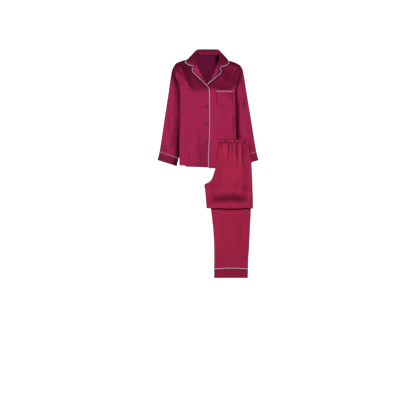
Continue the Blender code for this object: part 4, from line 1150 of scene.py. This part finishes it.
def build_pocket():
    across = shares(46, (0.004, 0.01), (0.99, 0.996))
    x, y = pocket_plan(across, mix(POCKET_BOTTOM, POCKET_SEAM, shares(46, (0.005, 0.01, 0.03))))
    share, up = pocket_share(x), (y - POCKET_BOTTOM) / (POCKET_SEAM - POCKET_BOTTOM)
    edge = rounded(12 * np.minimum(np.minimum(share, 1 - share), up))
    full = POCKET_FULLNESS * ease(up * 1.2) * np.sin(math.pi * share ** 1.15)
    z = left_top(x, y) + 0.4 + (POCKET_STEP - 0.4 + full) * edge
    panel = cloth_piece("pocket", points_of(x, y, z))
    declare(["pocket"])
    x, y = pocket_plan(across, np.linspace(POCKET_SEAM + 3.4, POCKET_TOP, 16))
    up = (y - POCKET_SEAM) / (POCKET_TOP - POCKET_SEAM)
    lift = mix(pocket_seam_lift(x), LAY_GAP + 0.7, ease(up * 0.96)) + 0.3 * pocket_share(x)
    band = cloth_piece("pocket_band", points_of(x, y, left_top(x, y) + lift), wall=BAND_THICKNESS)
    radius = bpy.context.scene.pyjama_details.pocket_piping_width * 500
    x = np.linspace(POCKET_LEFT - 1.0, POCKET_RIGHT + 1.0, 40)
    y = POCKET_SEAM + 1.4 + 0.8 * np.sin(0.055 * x) - 4.2 * ease((x - 112) / 34)
    cord = cord_piece("piping_pocket", points_of(x, y, left_top(x, y) + pocket_seam_lift(x) - 0.3), radius)
    declare(["pocket_band"])


def build_piping():
    radius = bpy.context.scene.pyjama_details.piping_width * 500
    for name, marks, under in (
            ("piping_front_right", PIPING_FRONT_RIGHT, piped_top),
            ("piping_front_left", PIPING_FRONT_LEFT, left_top),
            ("piping_collar_right", PIPING_COLLAR_RIGHT, shoulder_top),
            ("piping_collar_left", PIPING_COLLAR_LEFT, shoulder_top)):
        cord_piece(name, mark_route(marks, under), radius)


def join_meshes(name, objects):
    """One plain object from several, with their materials kept."""
    mesh = bmesh.new()
    materials = []
    for item in objects:
        before = len(mesh.faces)
        mesh.from_mesh(item.data)
        mesh.faces.ensure_lookup_table()
        for face in mesh.faces[before:]:
            face.material_index += len(materials)
        materials += [slot.material for slot in item.material_slots]
        bpy.data.objects.remove(item)
    made = put(name, mesh_data(name, mesh))
    for material in materials:
        made.data.materials.append(material)
    return made


def turned(name, outline, centre, steps=40):
    """Turned resin shape about an upright axis at centre, from an outline of radius and height."""
    mesh = bmesh.new()
    verts = [mesh.verts.new((radius * MM, 0, height * MM)) for radius, height in outline]
    edges = [mesh.edges.new(pair) for pair in zip(verts, verts[1:])]
    bmesh.ops.spin(mesh, geom=verts + edges, axis=(0, 0, 1), cent=(0, 0, 0), steps=steps,
                   angle=2 * math.pi, use_merge=True)
    bmesh.ops.remove_doubles(mesh, verts=mesh.verts, dist=MERGE_DISTANCE)
    bmesh.ops.recalc_face_normals(mesh, faces=mesh.faces)
    bmesh.ops.translate(mesh, verts=mesh.verts, vec=Vector(centre) * MM)
    data = mesh_data(name, mesh)
    data.shade_smooth()
    data.set_sharp_from_angle(angle=math.radians(BUTTON_ANGLE))
    return put(name, data, "burgundy_button")


def thread_bar(start, end):
    """Short bowed strand of thread between two places in millimetres."""
    share = np.linspace(0, 1, 7)[:, None]
    route = mix(np.array(start), np.array(end), share)
    route[:, 2] += 0.5 * np.sin(math.pi * share[:, 0])
    return put("thread", strand("thread", route, THREAD_RADIUS, 2), "crimson_thread")


def build_buttons():
    details = bpy.context.scene.pyjama_details
    radius, thick = details.button_width * 500, details.button_thickness * 1000
    dish = thick - BUTTON_DISH
    outline = (
        (0.0, 0.0), (radius - 1.1, 0.0), (radius - 0.3, 0.5), (radius, 1.0), (radius, thick - 0.9),
        (radius - 0.3, thick - 0.3), (radius - 0.9, thick), (radius - 1.5, thick - 0.2),
        (radius - 2.1, thick - 0.7), (radius - 3.2, dish), (0.0, dish),
    )
    hole = ((0.0, 0.0), (HOLE_RADIUS, 0.0), (HOLE_RADIUS, 6.0), (0.0, 6.0))
    reaches = (-HOLE_REACH, HOLE_REACH)
    for number, row in enumerate(BUTTON_ROWS, 1):
        high = max(float(shirt_top(BUTTON_X, row + reach)) for reach in (-radius, 0, radius)) + 0.5
        blank = turned("button_blank", outline, (BUTTON_X, row, high))
        cutter = join_meshes("holes", [
            turned("hole", hole, (BUTTON_X + reach_x, row + reach_y, high - 1.0), steps=12)
            for reach_x in reaches for reach_y in reaches])
        bored = blank.modifiers.new("Holes", "BOOLEAN")
        bored.operation = "DIFFERENCE"
        bored.object = cutter
        plain(blank)
        bpy.data.objects.remove(cutter)
        bars = []
        for reach in reaches:
            for shift in (-THREAD_SHIFT, THREAD_SHIFT):
                ends = [(BUTTON_X + end, row + reach + shift, high + dish) for end in reaches]
                bars.append(thread_bar(*ends))
        piece = join_meshes(f"button_{number}_sewn", [blank, *bars])
        piece.data.set_sharp_from_angle(angle=math.radians(BUTTON_ANGLE))
        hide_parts(f"button_{number}")
        settle(piece)


# ---------------------------------------------------------------- trousers

def sides(edges, y):
    """The two side edges of the folded trousers at a place along Y."""
    return [read(edges, y, column) for column in ("left", "right")]


def shirt_level(x, y):
    """Level that the shirt and its cuff hold the folded trousers up to."""
    on_shirt = read(LOFT, np.maximum(y, SHIRT_HEM)) + 0.9
    return mix(on_shirt, 10.6, ease((x - 150) / 100) * ease((124 - y) / 100))


def stack_base(x, y):
    """Underside of the folded trousers: on the shirt, down its hem, then on the table."""
    return shirt_level(x, y) * (1 - ease((SHIRT_HEM - y) / 75))


def sag(x, y):
    """The folded trousers sag between the shirt's hem and the tuck under the knee, most in their middle."""
    tip = 1.4 * ease((38 - x) / 58) * ease((y + 200) / 70) * ease((-60 - y) / 50)
    right = mix(0.5, 1.0, ease((258 - x) / 62))
    bowed = y + SAG_BOW * ((x - 125) / 85) ** 2
    return mix(read(SAG_SIDE, y), read(SAG_MIDDLE, bowed), ease((x - 10) / 36)) * right + tip


def stack_face(x, y):
    """Top face of the folded trousers down to the knee fold, without its folds."""
    height = STACK + (WAIST_STACK - STACK) * ease((y - 60) / 60)
    return mix(shirt_level(x, y), TUCK, ease((-60 - y) / 150)) + height - sag(x, y)


def knee_wave(x):
    """The knee fold's line is a little wavy."""
    return 1.9 * np.sin(0.031 * x + 0.6) + 1.1 * np.sin(0.083 * x + 2.0)


def ribs(x, y):
    """Fine puckers just above the knee fold."""
    near = ease((y - KNEE_FOLD) / 10) * ease((KNEE_FOLD + 44 - y) / 22)
    return near * 0.32 * np.sin(0.62 * x + 1.6 * np.sin(0.05 * x)) * (0.6 + 0.4 * np.sin(0.11 * x + 1.0))


def upper_face(x, y):
    """Top face above the knee fold with its folds."""
    left, right = sides(UPPER_EDGES, y)
    inside = ease((np.minimum(x - left, right - x) + 1.0) / 7)
    folds = inside * (fold_field(LEG_CREASES, x, y) + ripple(x + 40, y, 1.1)) + ribs(x, y)
    return stack_face(x, np.maximum(y, KNEE_FOLD + 1)) + folds


def lower_face(x, y):
    """Top face below the knee fold, pressed down next to it."""
    level = LOWER_STACK - 0.8 * (1 - ease((KNEE_FOLD - 1 - y) / 11))
    return level + fold_field(LOWER_LEG_CREASES, x, y) + ripple(x, y - 30) * ease((KNEE_FOLD - y) / 20)


def hem_arch(x, y):
    """Extra height along Y of the hem seam, arched in its middle."""
    left, right = sides(LOWER_EDGES, y)
    return HEM_ARCH * np.sin(math.pi * np.clip((x - left) / (right - left), 0, 1))


def leg_points(rows):
    """Cloth points across a leg for each row, curling down at both edges."""
    edge = np.array([0.0, 0.07, 0.2, 0.36, 0.56, 0.78]) * EDGE_ROLL
    share = np.linspace(0, 1, 70)
    points = []
    for (left, right), place, face, curl in rows:
        across = np.concatenate([left + edge, mix(left + EDGE_ROLL, right - EDGE_ROLL, share),
                                 (right - edge)[::-1]])
        inset = np.minimum(np.minimum(across - left, right - across), EDGE_ROLL)
        drop = curl * EDGE_DROP * (1 - rounded(inset / EDGE_ROLL))
        y = place(across)
        points.append(points_of(across, y, face(across, y) - drop))
    return np.array(points)


def leg_painted_light(x, y):
    """Painted highlight, under 0, on the middle and each gather's crest; painted shade in the gathers'
    troughs, across the knee's sag band and beside the side seam.
    """
    # Painted highlight on the middle of the leg and along three streaks.
    streaks = sum(bell(x - middle, 9) for middle in (99, 150, 189))
    painted_sheen = (0.17 * bell(x - 142, 70) + 0.09 * streaks) * ease((y + 176) / 30)
    folds = fold_field(LEG_CREASES, x, y) / 0.6
    # Painted shade in the gathers' troughs and painted highlight on their crests.
    gathers = (0.12 * np.clip(-folds, 0, 1) - 0.30 * np.clip(folds, 0, 1)) * ease((y + 120) / 100)
    # Painted shade across the knee's sag band.
    low = 0.30 * bell(y + 208, 17) + 0.08 * bell(y + 154, 13)
    low = low * ease((x - 18) / 26) * ease((246 - x) / 26)
    return low + gathers + 0.17 * bell(x - 223, 18) * ease((y + 195) / 30) - painted_sheen


def build_leg():
    """The outer layer: down to the knee fold, back under it to the tuck, and down to the hem."""
    rows = []

    def waved(y, amount):
        return lambda x: y + knee_wave(x) * amount

    def arched(y, amount):
        return lambda x: y + hem_arch(x, y) * amount

    for y in np.concatenate([np.arange(122.3, -255, -3.6), [-257, -260, -263, -266]]):
        rows.append((sides(UPPER_EDGES, y), waved(y, ease((KNEE_FOLD + 50 - y) / 40)), upper_face,
                     ease((y - KNEE_FOLD - 8) / 40)))
    for turn in np.radians(np.linspace(84, -90, 14)):
        y = KNEE_FOLD + KNEE_RADIUS - KNEE_RADIUS * math.cos(turn)
        level = KNEE_BACK + KNEE_RADIUS + KNEE_RADIUS * math.sin(turn)
        rows.append((sides(UPPER_EDGES, KNEE_FOLD), waved(y, 1.0),
                     lambda x, y, level=level: level + ribs(x, KNEE_FOLD + 10) * 0.5, 0.0))
    for y in (-255, -240, -225, -210, TUCK_END - 4):
        spread = (y - KNEE_FOLD) / (TUCK_END - KNEE_FOLD)
        edges = mix(np.array(sides(UPPER_EDGES, y)), np.array(sides(LOWER_EDGES, y)), spread)
        rows.append((edges, level_place(y), level_at(KNEE_BACK), 0.0))
    rows.append((sides(LOWER_EDGES, -201), level_place(TUCK_END - 1.2), level_at(KNEE_BACK - 0.3), 0.0))
    first_lower = len(rows)
    for y in np.concatenate([
            [TUCK_END - 4, TUCK_END - 8], np.arange(-214, -262, -5.0),
            [-265, -268, -270.5, -273, -275.5, -278, -281], np.arange(-285, HEM_SEAM, -5.0),
            [HEM_SEAM + 0.6]]):
        rows.append((sides(LOWER_EDGES, y), arched(y, ease((HEM_SEAM + 60 - y) / 60)), lower_face,
                     ease((TUCK_END - 10 - y) / 30)))
    points = leg_points(rows)
    x, y = points[..., 0], points[..., 1]
    # Painted shadow on the lower leg just under the knee fold; above the fold, the leg's painted shade and
    # painted highlight.
    below = np.arange(len(points))[:, None] >= first_lower
    fold_painted_shadow = 0.92 * (1 - ease((KNEE_FOLD + knee_wave(x) - y - 4) / 6))
    uv = points_of(x, -run_along(points[:, 35])[:, None])
    leg = cloth_piece("leg_left", points, uv, flip=True, kinds=TROUSER_KINDS,
                      shade=np.where(below, fold_painted_shadow, leg_painted_light(x, y)))
    declare(["leg_left"])


def layered_rings(rows, edges, bottom, face):
    """Rings round the hidden layers, rounded, with a groove between the layers seen at their edges."""
    rings = []
    clear = CLOTH + 0.2
    for y in rows:
        rims = []
        for side, inward in enumerate((1, -1)):
            edge, ahead, behind = [float(sides(edges, at)[side]) for at in (y, y + 5, y - 5)]
            inward *= math.hypot(1, abs(ahead - behind) / 10)
            low, high = float(bottom(edge, y)), float(face(edge, y)) - clear
            groove = (max(high + clear - EDGE_DROP - 0.8, low + 1.4) - low) / LAYERS
            outline = [(3.0, low)]
            for layer in range(LAYERS):
                outline += [(inset, low + (layer + rise) * groove)
                            for inset, rise in ((1.0, 0.12), (0.6, 0.4), (0.8, 0.75), (2.2, 1.0))]
            outline += [(2.3, high - 1.8), (EDGE_ROLL + 0.6, high)]
            rims.append([(edge + inward * inset, y, z) for inset, z in outline])
        middle = [mix(rims[0][-1][0], rims[1][-1][0], share) for share in np.linspace(0, 1, 20)[1:-1]]
        rings.append([
            *rims[0], *[(x, y, float(face(x, y)) - clear) for x in middle],
            *reversed(rims[1]), *[(x, y, float(bottom(x, y))) for x in reversed(middle)],
        ])
    return np.array(rings)


def build_folded_layers():
    step = TUCK_END + 2.6

    def upper_bottom(x, y):
        return KNEE_BACK + CLOTH + 0.5 if y < step else stack_base(x, y)

    rows = [121.5, *np.arange(118, TUCK_END + 6, -6.0), step, step - 0.2,
            *np.arange(-208, KNEE_FOLD + 9, -6.0), KNEE_FOLD + 8.0]
    rings = layered_rings(rows, UPPER_EDGES, upper_bottom, stack_face)
    upper = solid_piece("folded_layers_upper", rings, "trouser_satin")
    declare(["folded_layers_upper"])
    rows = [TUCK_END + 1.8, *np.arange(-206, HEM_SEAM + 4, -10.0), HEM_SEAM + 0.4]
    rings = layered_rings(rows, LOWER_EDGES, level_at(0.0), level_at(LOWER_STACK))
    lower = solid_piece("folded_layers_lower", rings, "trouser_satin")
    declare(["folded_layers_lower"])


def ruffle(x, y):
    """Shirring of the elastic waist: small gathers, uneven in spacing and height."""
    phase = x / GATHER_PITCH + 0.3 * np.sin(x * 0.115) + 0.16 * np.sin(x * 0.31 + 1.0)
    wave = np.sin(2 * math.pi * phase)
    gathers = (0.62 + 0.26 * np.sin(x * 0.21)) * wave * (0.45 + 0.55 * ease(abs(y - 134.5) / 9))
    return gathers + 0.6 * ease((y - 138) / 7) - 0.8 * (1 - ease((y - WAIST_SEAM) / 3))


def build_waistband():
    rows = np.linspace(WAIST_SEAM, WAIST_TOP, 20)
    sections = points_of(WAIST_LEFT, rows, WAIST_RIGHT, rows)
    points, uv = tube_grid(sections, 0, stack_base, level_at(WAIST_STACK), ruffle, across=150)
    top = ease((points[..., 1] - 134) / 11)
    points[..., 1] += top * (0.9 * np.sin(points[..., 0] / GATHER_PITCH * 2 * math.pi + 1.2) - 0.4)
    # The waistband's colour has painted shade at its left end and a painted highlight all over.
    band = cloth_piece("waistband", points, uv, closed=True, kinds=TROUSER_KINDS,
                       shade=0.72 * (1 - ease((points[..., 0] - WAIST_LEFT) / 9)) - WAIST_PAINTED_HIGHLIGHT)
    declare(["waistband"])


def hem_folds(x, y):
    """The upper hem band stands more open towards its end."""
    return ripple(2 * x, 2 * y) + 1.3 * ease((HEM_SEAM - 6 - y) / 46)


def build_hems():
    radius = bpy.context.scene.pyjama_details.hem_piping_width * 500
    layer = (LOWER_STACK - LAYER_GAP) / 2
    rows = np.concatenate([[HEM_SEAM - 3.2], np.arange(-634, HEM_END, -3.4), [HEM_END]])
    left, right = sides(LOWER_EDGES, rows)
    sections = points_of(left, rows, right, rows)
    share = np.concatenate([[0.0, 0.012, 0.03], np.linspace(0.06, 0.94, 60), [0.97, 0.988, 1.0]])
    fall = 1.2 * (1 - rounded(20 * np.minimum(share, 1 - share)))
    y = HEM_SEAM - 1.6
    left, right = sides(LOWER_EDGES, y)
    x = mix(left + 0.8, right - 0.8, share)
    for side, base, folds, level, rests_on in (
            ("right", 0.0, None, radius + 0.1, "floor"),
            ("left", layer + LAYER_GAP, hem_folds, LOWER_STACK - 0.6 - fall, "hem_band_right")):
        points, uv = tube_grid(sections, 0, level_at(base), level_at(layer), folds)
        arch = ease((points[..., 1] - HEM_END) / 56)
        points[..., 1] += arch * hem_arch(points[..., 0], points[..., 1])
        cord = cord_piece(f"piping_hem_{side}", points_of(x, y + hem_arch(x, y), level), radius)
        band = cloth_piece(f"hem_band_{side}", points, uv, flip=True, closed=True,
                           kinds=("trouser_satin_across", "satin_reverse"))
        declare([f"hem_band_{side}"])


# ---------------------------------------------------------------- stitches

def stitch_tree():
    """Node tree that sews a row of stitches along every line of a wire mesh."""
    tree = bpy.data.node_groups.new("Stitch rows", "GeometryNodeTree")
    for name, way, kind, meaning in (
            ("Geometry", "INPUT", "NodeSocketGeometry", ""),
            ("Pitch", "INPUT", "NodeSocketFloat", "Distance from one stitch to the next"),
            ("Stitch Length", "INPUT", "NodeSocketFloat", "Length of each stitch"),
            ("Thread Radius", "INPUT", "NodeSocketFloat", "Half the thread's thickness"),
            ("Thread", "INPUT", "NodeSocketMaterial", "Material of the thread"),
            ("Geometry", "OUTPUT", "NodeSocketGeometry", "")):
        tree.interface.new_socket(name, description=meaning, in_out=way, socket_type=kind)
    given = add_node(tree, "NodeGroupInput")
    result = add_node(tree, "NodeGroupOutput")
    lines = add_node(tree, "GeometryNodeMeshToCurve")
    places = add_node(tree, "GeometryNodeCurveToPoints", mode="LENGTH")
    capsule = add_node(tree, "GeometryNodeMeshUVSphere", {"Segments": 6, "Rings": 4, "Radius": 1.0})
    half = add_node(tree, "ShaderNodeMath", {1: 0.5}, operation="MULTIPLY")
    size = add_node(tree, "ShaderNodeCombineXYZ")
    sewing = add_node(tree, "GeometryNodeInstanceOnPoints")
    real = add_node(tree, "GeometryNodeRealizeInstances")
    dye = add_node(tree, "GeometryNodeSetMaterial")
    for start, out, end, into in (
            (given, "Geometry", lines, "Mesh"), (lines, "Curve", places, "Curve"),
            (given, "Pitch", places, "Length"), (given, "Stitch Length", half, 0),
            (half, "Value", size, "Z"), (given, "Thread Radius", size, "X"),
            (given, "Thread Radius", size, "Y"), (places, "Points", sewing, "Points"),
            (capsule, "Mesh", sewing, "Instance"), (places, "Rotation", sewing, "Rotation"),
            (size, "Vector", sewing, "Scale"), (sewing, "Instances", real, "Geometry"),
            (real, "Geometry", dye, "Geometry"), (given, "Thread", dye, "Material"),
            (dye, "Geometry", result, "Geometry")):
        link(tree, start, out, end, into)
    return tree


def sewn(name, routes, tree):
    """A piece of stitches along the routes, each a list of places in millimetres."""
    verts, edges = [], []
    for route in routes:
        first = len(verts)
        verts += [tuple(Vector(place) * MM) for place in route.tolist()]
        edges += [(k, k + 1) for k in range(first, len(verts) - 1)]
    data = bpy.data.meshes.new(name)
    data.from_pydata(verts, edges, [])
    piece = put(name, data)
    sewing = piece.modifiers.new("Stitches", "NODES")
    sewing.node_group = tree
    details = bpy.context.scene.pyjama_details
    values = {"Pitch": details.stitch_pitch, "Stitch Length": details.stitch_length,
              "Thread Radius": details.thread_width / 2, "Thread": finish("crimson_thread")}
    for item in tree.interface.items_tree:
        if item.item_type == "SOCKET" and item.in_out == "INPUT" and item.name in values:
            sewing[item.identifier] = values[item.name]
    plain(piece)
    piece.data.shade_smooth()
    return settle(piece)


def line_on(surface, x, y, lift=0.25):
    return points_of(x, y, surface(x, y) + lift)


def build_stitches():
    tree = stitch_tree()
    rows = []
    for surface, x in ((shirt_top, np.linspace(-168, 0, 90)), (left_top, np.linspace(20, 168, 80))):
        rows.append(line_on(surface, x, hem_line(x) + HEM_DEPTH))
    y = np.linspace(-18, 436, 180)
    for inset in (2.6, 34.0):
        rows.append(line_on(shirt_top, read(CENTRE_RIGHT, y) - inset, y))
    y = np.linspace(505, 566, 40)
    for surface, centre, inset in ((shirt_top, CENTRE_RIGHT, -4.0), (left_top, CENTRE_LEFT, 4.0)):
        rows.append(line_on(surface, read(centre, y) + inset, y, -0.2))
    sewn("stitches_shirt", rows, tree)

    y = mix(POCKET_BOTTOM, POCKET_SEAM, np.linspace(1, 0.02, 40))
    x, _ = pocket_plan(np.array([0.022, 0.978]), y)
    outline_x, outline_y = np.concatenate([x[:, 0], x[::-1, 1]]), np.concatenate([y, y[::-1]])
    sewn("stitches_pocket", [line_on(left_top, outline_x, outline_y, POCKET_STEP * 0.8 + 0.1)], tree)


# ---------------------------------------------------------------- stage

def softbox(name, y, depth, power):
    """Rectangular lamp that shines straight down."""
    data = bpy.data.lights.new(name, "AREA")
    data.shape = "RECTANGLE"
    data.size, data.size_y = LAMP_WIDTH, depth
    data.energy = power
    lamp = bpy.data.objects.new(name, data)
    lamp.location = (LAMP_X, y, LAMP_HEIGHT)
    bpy.context.scene.collection.objects.link(lamp)
    lamp.visible_camera = False


def build_stage():
    scene = bpy.context.scene
    stage = scene.pyjama_stage
    scene.view_settings.view_transform = "Standard"
    mesh = bmesh.new()
    bmesh.ops.create_grid(mesh, x_segments=1, y_segments=1, size=FLOOR_REACH)
    bmesh.ops.translate(mesh, verts=mesh.verts, vec=(0, 0, FLOOR_LEVEL))
    floor = put("pale_floor", mesh_data("pale_floor", mesh))
    made, _, _ = shader_nodes("pale_floor", {
        "Metallic": 0.0, "Roughness": 0.8, "Base Color": (*stage.floor_colour, 1.0),
        "Specular IOR Level": 0.1, "Emission Color": (1, 1, 1, 1), "Emission Strength": stage.floor_glow})
    floor.data.materials.append(made)

    world = bpy.data.worlds.new("studio")
    scene.world = world
    world.use_nodes = True
    tree = world.node_tree
    split = add_node(tree, "ShaderNodeSeparateXYZ")
    ramp = add_node(tree, "ShaderNodeValToRGB")
    foot, top = ramp.color_ramp.elements
    foot.position, top.position = 0.10, 0.60
    foot.color = (stage.horizon, stage.horizon, stage.horizon, 1)
    top.color = (stage.fill, stage.fill, stage.fill * 1.7, 1)
    for position in (0.15, 0.44):
        ramp.color_ramp.elements.new(position).color = (stage.wall, stage.wall, stage.wall, 1)
    link(tree, add_node(tree, "ShaderNodeTexCoord"), "Generated", split, "Vector")
    link(tree, split, "Z", ramp, "Fac")
    link(tree, ramp, "Color", tree.nodes["Background"], "Color")

    softbox("upper_softbox", 0.95, 1.2, stage.light_power * UPPER_LAMP_SHARE)
    softbox("lower_softbox", -0.525, 1.75, stage.light_power * (1 - UPPER_LAMP_SHARE))

    camera_data = bpy.data.cameras.new("camera")
    camera_data.sensor_width = SENSOR_WIDTH
    camera_data.lens = SENSOR_WIDTH * stage.camera_height / stage.field_width
    camera_data.clip_end = VIEW_DEPTH
    camera = bpy.data.objects.new("camera", camera_data)
    camera.location = (0.0, stage.field_centre, stage.camera_height)
    scene.collection.objects.link(camera)
    scene.camera = camera


# ---------------------------------------------------------------- settings

def colour(name, description, default):
    return bpy.props.FloatVectorProperty(
        name=name, description=description, subtype="COLOR", min=0.0, max=1.0, default=default)


def factor(name, description, default):
    return bpy.props.FloatProperty(
        name=name, description=description, subtype="FACTOR", min=0.0, max=1.0, default=default)


def number(name, description, default, low, high):
    return bpy.props.FloatProperty(name=name, description=description, default=default, min=low, max=high)


def length(name, description, default, low, high):
    return bpy.props.FloatProperty(
        name=name, description=description, default=default, min=low, max=high, unit="LENGTH", precision=5)


class PyjamaCloth(bpy.types.PropertyGroup):
    satin_colour: colour("Satin", "Colour of the satin's right side", (0.0995, 0.0051, 0.0200))
    trouser_colour: colour("Trousers", "Colour of the trousers' satin", (0.107, 0.0053, 0.0180))
    reverse_colour: colour("Reverse", "Colour of the satin's matt side", (0.072, 0.0040, 0.0200))
    piping_colour: colour("Piping", "Colour of the piping", (0.47, 0.355, 0.46))
    button_colour: colour("Buttons", "Colour of the buttons", (0.036, 0.005, 0.025))
    thread_colour: colour("Thread", "Colour of the sewing thread", (0.20, 0.011, 0.042))
    # Painted shade of the cross-grain copies of the satin, and painted highlight of the collar's copy.
    across_painted_shade: factor("Cross-grain shade", "Brightness of satin that is cut across its grain", 0.72)
    bias_painted_highlight: number(
        "Bias shade", "Brightness of satin that is cut on the bias for the collar", 1.28, 0.5, 2.0)
    satin_lustre: factor("Lustre", "How much of the satin's light is mirrored in its own colour", 0.5)
    satin_roughness: factor("Roughness", "Breadth of the satin's sheen", 0.29)
    thickness: length("Cloth thickness", "Thickness of each layer of cloth", 0.0008, 0.0003, 0.002)


class PyjamaDetails(bpy.types.PropertyGroup):
    piping_width: length(
        "Piping width", "Thickness of the piping on the shirt's edges", 0.0027, 0.001, 0.006)
    hem_piping_width: length(
        "Hem piping width", "Thickness of the trouser hems' piping", 0.0032, 0.001, 0.006)
    pocket_piping_width: length(
        "Pocket piping width", "Thickness of the pocket's piping", 0.0027, 0.001, 0.006)
    cuff_piping_width: length("Cuff piping width", "Thickness of the cuffs' piping", 0.0018, 0.001, 0.006)
    button_width: length("Button width", "Across each button", 0.0126, 0.008, 0.02)
    button_thickness: length("Button thickness", "Height of each button's rim", 0.0026, 0.001, 0.004)
    stitch_pitch: length("Stitch pitch", "From one stitch to the next", 0.0032, 0.001, 0.01)
    stitch_length: length("Stitch length", "Length of each stitch", 0.0026, 0.001, 0.01)
    thread_width: length("Thread width", "Thickness of the sewing thread", 0.0004, 0.0001, 0.001)


class PyjamaStage(bpy.types.PropertyGroup):
    floor_colour: colour("Floor", "Colour of the plain floor", (0.30, 0.30, 0.30))
    floor_glow: number("Floor glow", "Light that the backlit floor gives off", 1.0, 0.0, 2.0)
    light_power: bpy.props.FloatProperty(
        name="Softbox power", description="Power of the softbox overhead", default=194.0, min=0.0,
        unit="POWER")
    horizon: number("Horizon", "Brightness of the foot of the studio's walls", 2.4, 0.0, 8.0)
    wall: number("Walls", "Brightness of the studio's walls", 2.2, 0.0, 8.0)
    fill: number("Fill", "Brightness of the room overhead", 0.225, 0.0, 1.0)
    camera_height: bpy.props.FloatProperty(
        name="Camera height", description="Height of the camera over the floor", default=8.0, min=2.0,
        unit="LENGTH")
    field_width: bpy.props.FloatProperty(
        name="Field width", description="Width of floor in the camera's view", default=2.496, min=1.0,
        unit="LENGTH")
    field_centre: bpy.props.FloatProperty(
        name="Field centre", description="Where the middle of the view falls along Y", default=-0.2655,
        unit="LENGTH")


# ---------------------------------------------------------------- operators and panel

class PYJAMA_OT_body(bpy.types.Operator):
    """Lay the shirt's back and its two fronts"""
    bl_idname = "pyjama.body"
    bl_label = "Shirt Body"

    def execute(self, context):
        build_body()
        return {"FINISHED"}


class PYJAMA_OT_lapels(bpy.types.Operator):
    """Turn the lapels back from the break"""
    bl_idname = "pyjama.lapels"
    bl_label = "Lapels"

    def execute(self, context):
        build_lapels()
        return {"FINISHED"}


class PYJAMA_OT_collar(bpy.types.Operator):
    """Stand and fold the collar round the neck"""
    bl_idname = "pyjama.collar"
    bl_label = "Collar"

    def execute(self, context):
        build_collar()
        return {"FINISHED"}


class PYJAMA_OT_sleeves(bpy.types.Operator):
    """Lay the sleeves as flat tubes beside the body"""
    bl_idname = "pyjama.sleeves"
    bl_label = "Sleeves"

    def execute(self, context):
        build_sleeves()
        return {"FINISHED"}


class PYJAMA_OT_cuffs(bpy.types.Operator):
    """Add the cuffs and the piping in their seams"""
    bl_idname = "pyjama.cuffs"
    bl_label = "Cuffs"

    def execute(self, context):
        build_cuffs()
        return {"FINISHED"}


class PYJAMA_OT_pocket(bpy.types.Operator):
    """Sew the chest pocket, its band and its piping"""
    bl_idname = "pyjama.pocket"
    bl_label = "Pocket"

    def execute(self, context):
        build_pocket()
        return {"FINISHED"}


class PYJAMA_OT_piping(bpy.types.Operator):
    """Run the piping along the front, lapel and collar edges"""
    bl_idname = "pyjama.piping"
    bl_label = "Piping"

    def execute(self, context):
        build_piping()
        return {"FINISHED"}


class PYJAMA_OT_buttons(bpy.types.Operator):
    """Turn, bore and sew on the buttons"""
    bl_idname = "pyjama.buttons"
    bl_label = "Buttons"

    def execute(self, context):
        build_buttons()
        return {"FINISHED"}


class PYJAMA_OT_waistband(bpy.types.Operator):
    """Gather the trousers' elastic waist"""
    bl_idname = "pyjama.waistband"
    bl_label = "Waistband"

    def execute(self, context):
        build_waistband()
        return {"FINISHED"}


class PYJAMA_OT_leg(bpy.types.Operator):
    """Lay the trousers' outer leg with its fold at the knee"""
    bl_idname = "pyjama.leg"
    bl_label = "Leg"

    def execute(self, context):
        build_leg()
        return {"FINISHED"}


class PYJAMA_OT_folded_layers(bpy.types.Operator):
    """Fill the folded trousers with their inner layers"""
    bl_idname = "pyjama.folded_layers"
    bl_label = "Folded Layers"

    def execute(self, context):
        build_folded_layers()
        return {"FINISHED"}


class PYJAMA_OT_hems(bpy.types.Operator):
    """Add the trousers' hem bands and their piping"""
    bl_idname = "pyjama.hems"
    bl_label = "Hem Bands"

    def execute(self, context):
        build_hems()
        return {"FINISHED"}


class PYJAMA_OT_stitches(bpy.types.Operator):
    """Sew the rows of stitches"""
    bl_idname = "pyjama.stitches"
    bl_label = "Stitches"

    def execute(self, context):
        build_stitches()
        return {"FINISHED"}


class PYJAMA_OT_stage(bpy.types.Operator):
    """Set up the floor, the light and the camera"""
    bl_idname = "pyjama.stage"
    bl_label = "Stage"

    def execute(self, context):
        build_stage()
        return {"FINISHED"}


OPERATORS = (
    PYJAMA_OT_body, PYJAMA_OT_lapels, PYJAMA_OT_collar, PYJAMA_OT_sleeves, PYJAMA_OT_cuffs,
    PYJAMA_OT_pocket, PYJAMA_OT_piping, PYJAMA_OT_buttons, PYJAMA_OT_waistband, PYJAMA_OT_leg,
    PYJAMA_OT_folded_layers, PYJAMA_OT_hems, PYJAMA_OT_stitches, PYJAMA_OT_stage,
)


class PYJAMA_PT_panel(bpy.types.Panel):
    """Settings and steps of the pyjama set"""
    bl_idname = "PYJAMA_PT_panel"
    bl_label = "Pyjama Set"
    bl_space_type = "VIEW_3D"
    bl_region_type = "UI"
    bl_category = "Pyjama Set"

    def draw(self, context):
        for name, _ in SETTINGS:
            settings = getattr(context.scene, name)
            box = self.layout.box()
            for key in settings.__annotations__:
                box.prop(settings, key)
        for operator in OPERATORS:
            self.layout.operator(operator.bl_idname)


SETTINGS = (
    ("pyjama_cloth", PyjamaCloth), ("pyjama_details", PyjamaDetails), ("pyjama_stage", PyjamaStage),
)


def register():
    for name, settings in SETTINGS:
        bpy.utils.register_class(settings)
        setattr(bpy.types.Scene, name, bpy.props.PointerProperty(type=settings))
    for operator in OPERATORS:
        bpy.utils.register_class(operator)
    bpy.utils.register_class(PYJAMA_PT_panel)


def unregister():
    bpy.utils.unregister_class(PYJAMA_PT_panel)
    for operator in reversed(OPERATORS):
        bpy.utils.unregister_class(operator)
    for name, settings in reversed(SETTINGS):
        delattr(bpy.types.Scene, name)
        bpy.utils.unregister_class(settings)


def main():
    register()
    for operator in OPERATORS:
        group, name = operator.bl_idname.split(".")
        getattr(getattr(bpy.ops, group), name)()


if __name__ == "__main__":
    main()
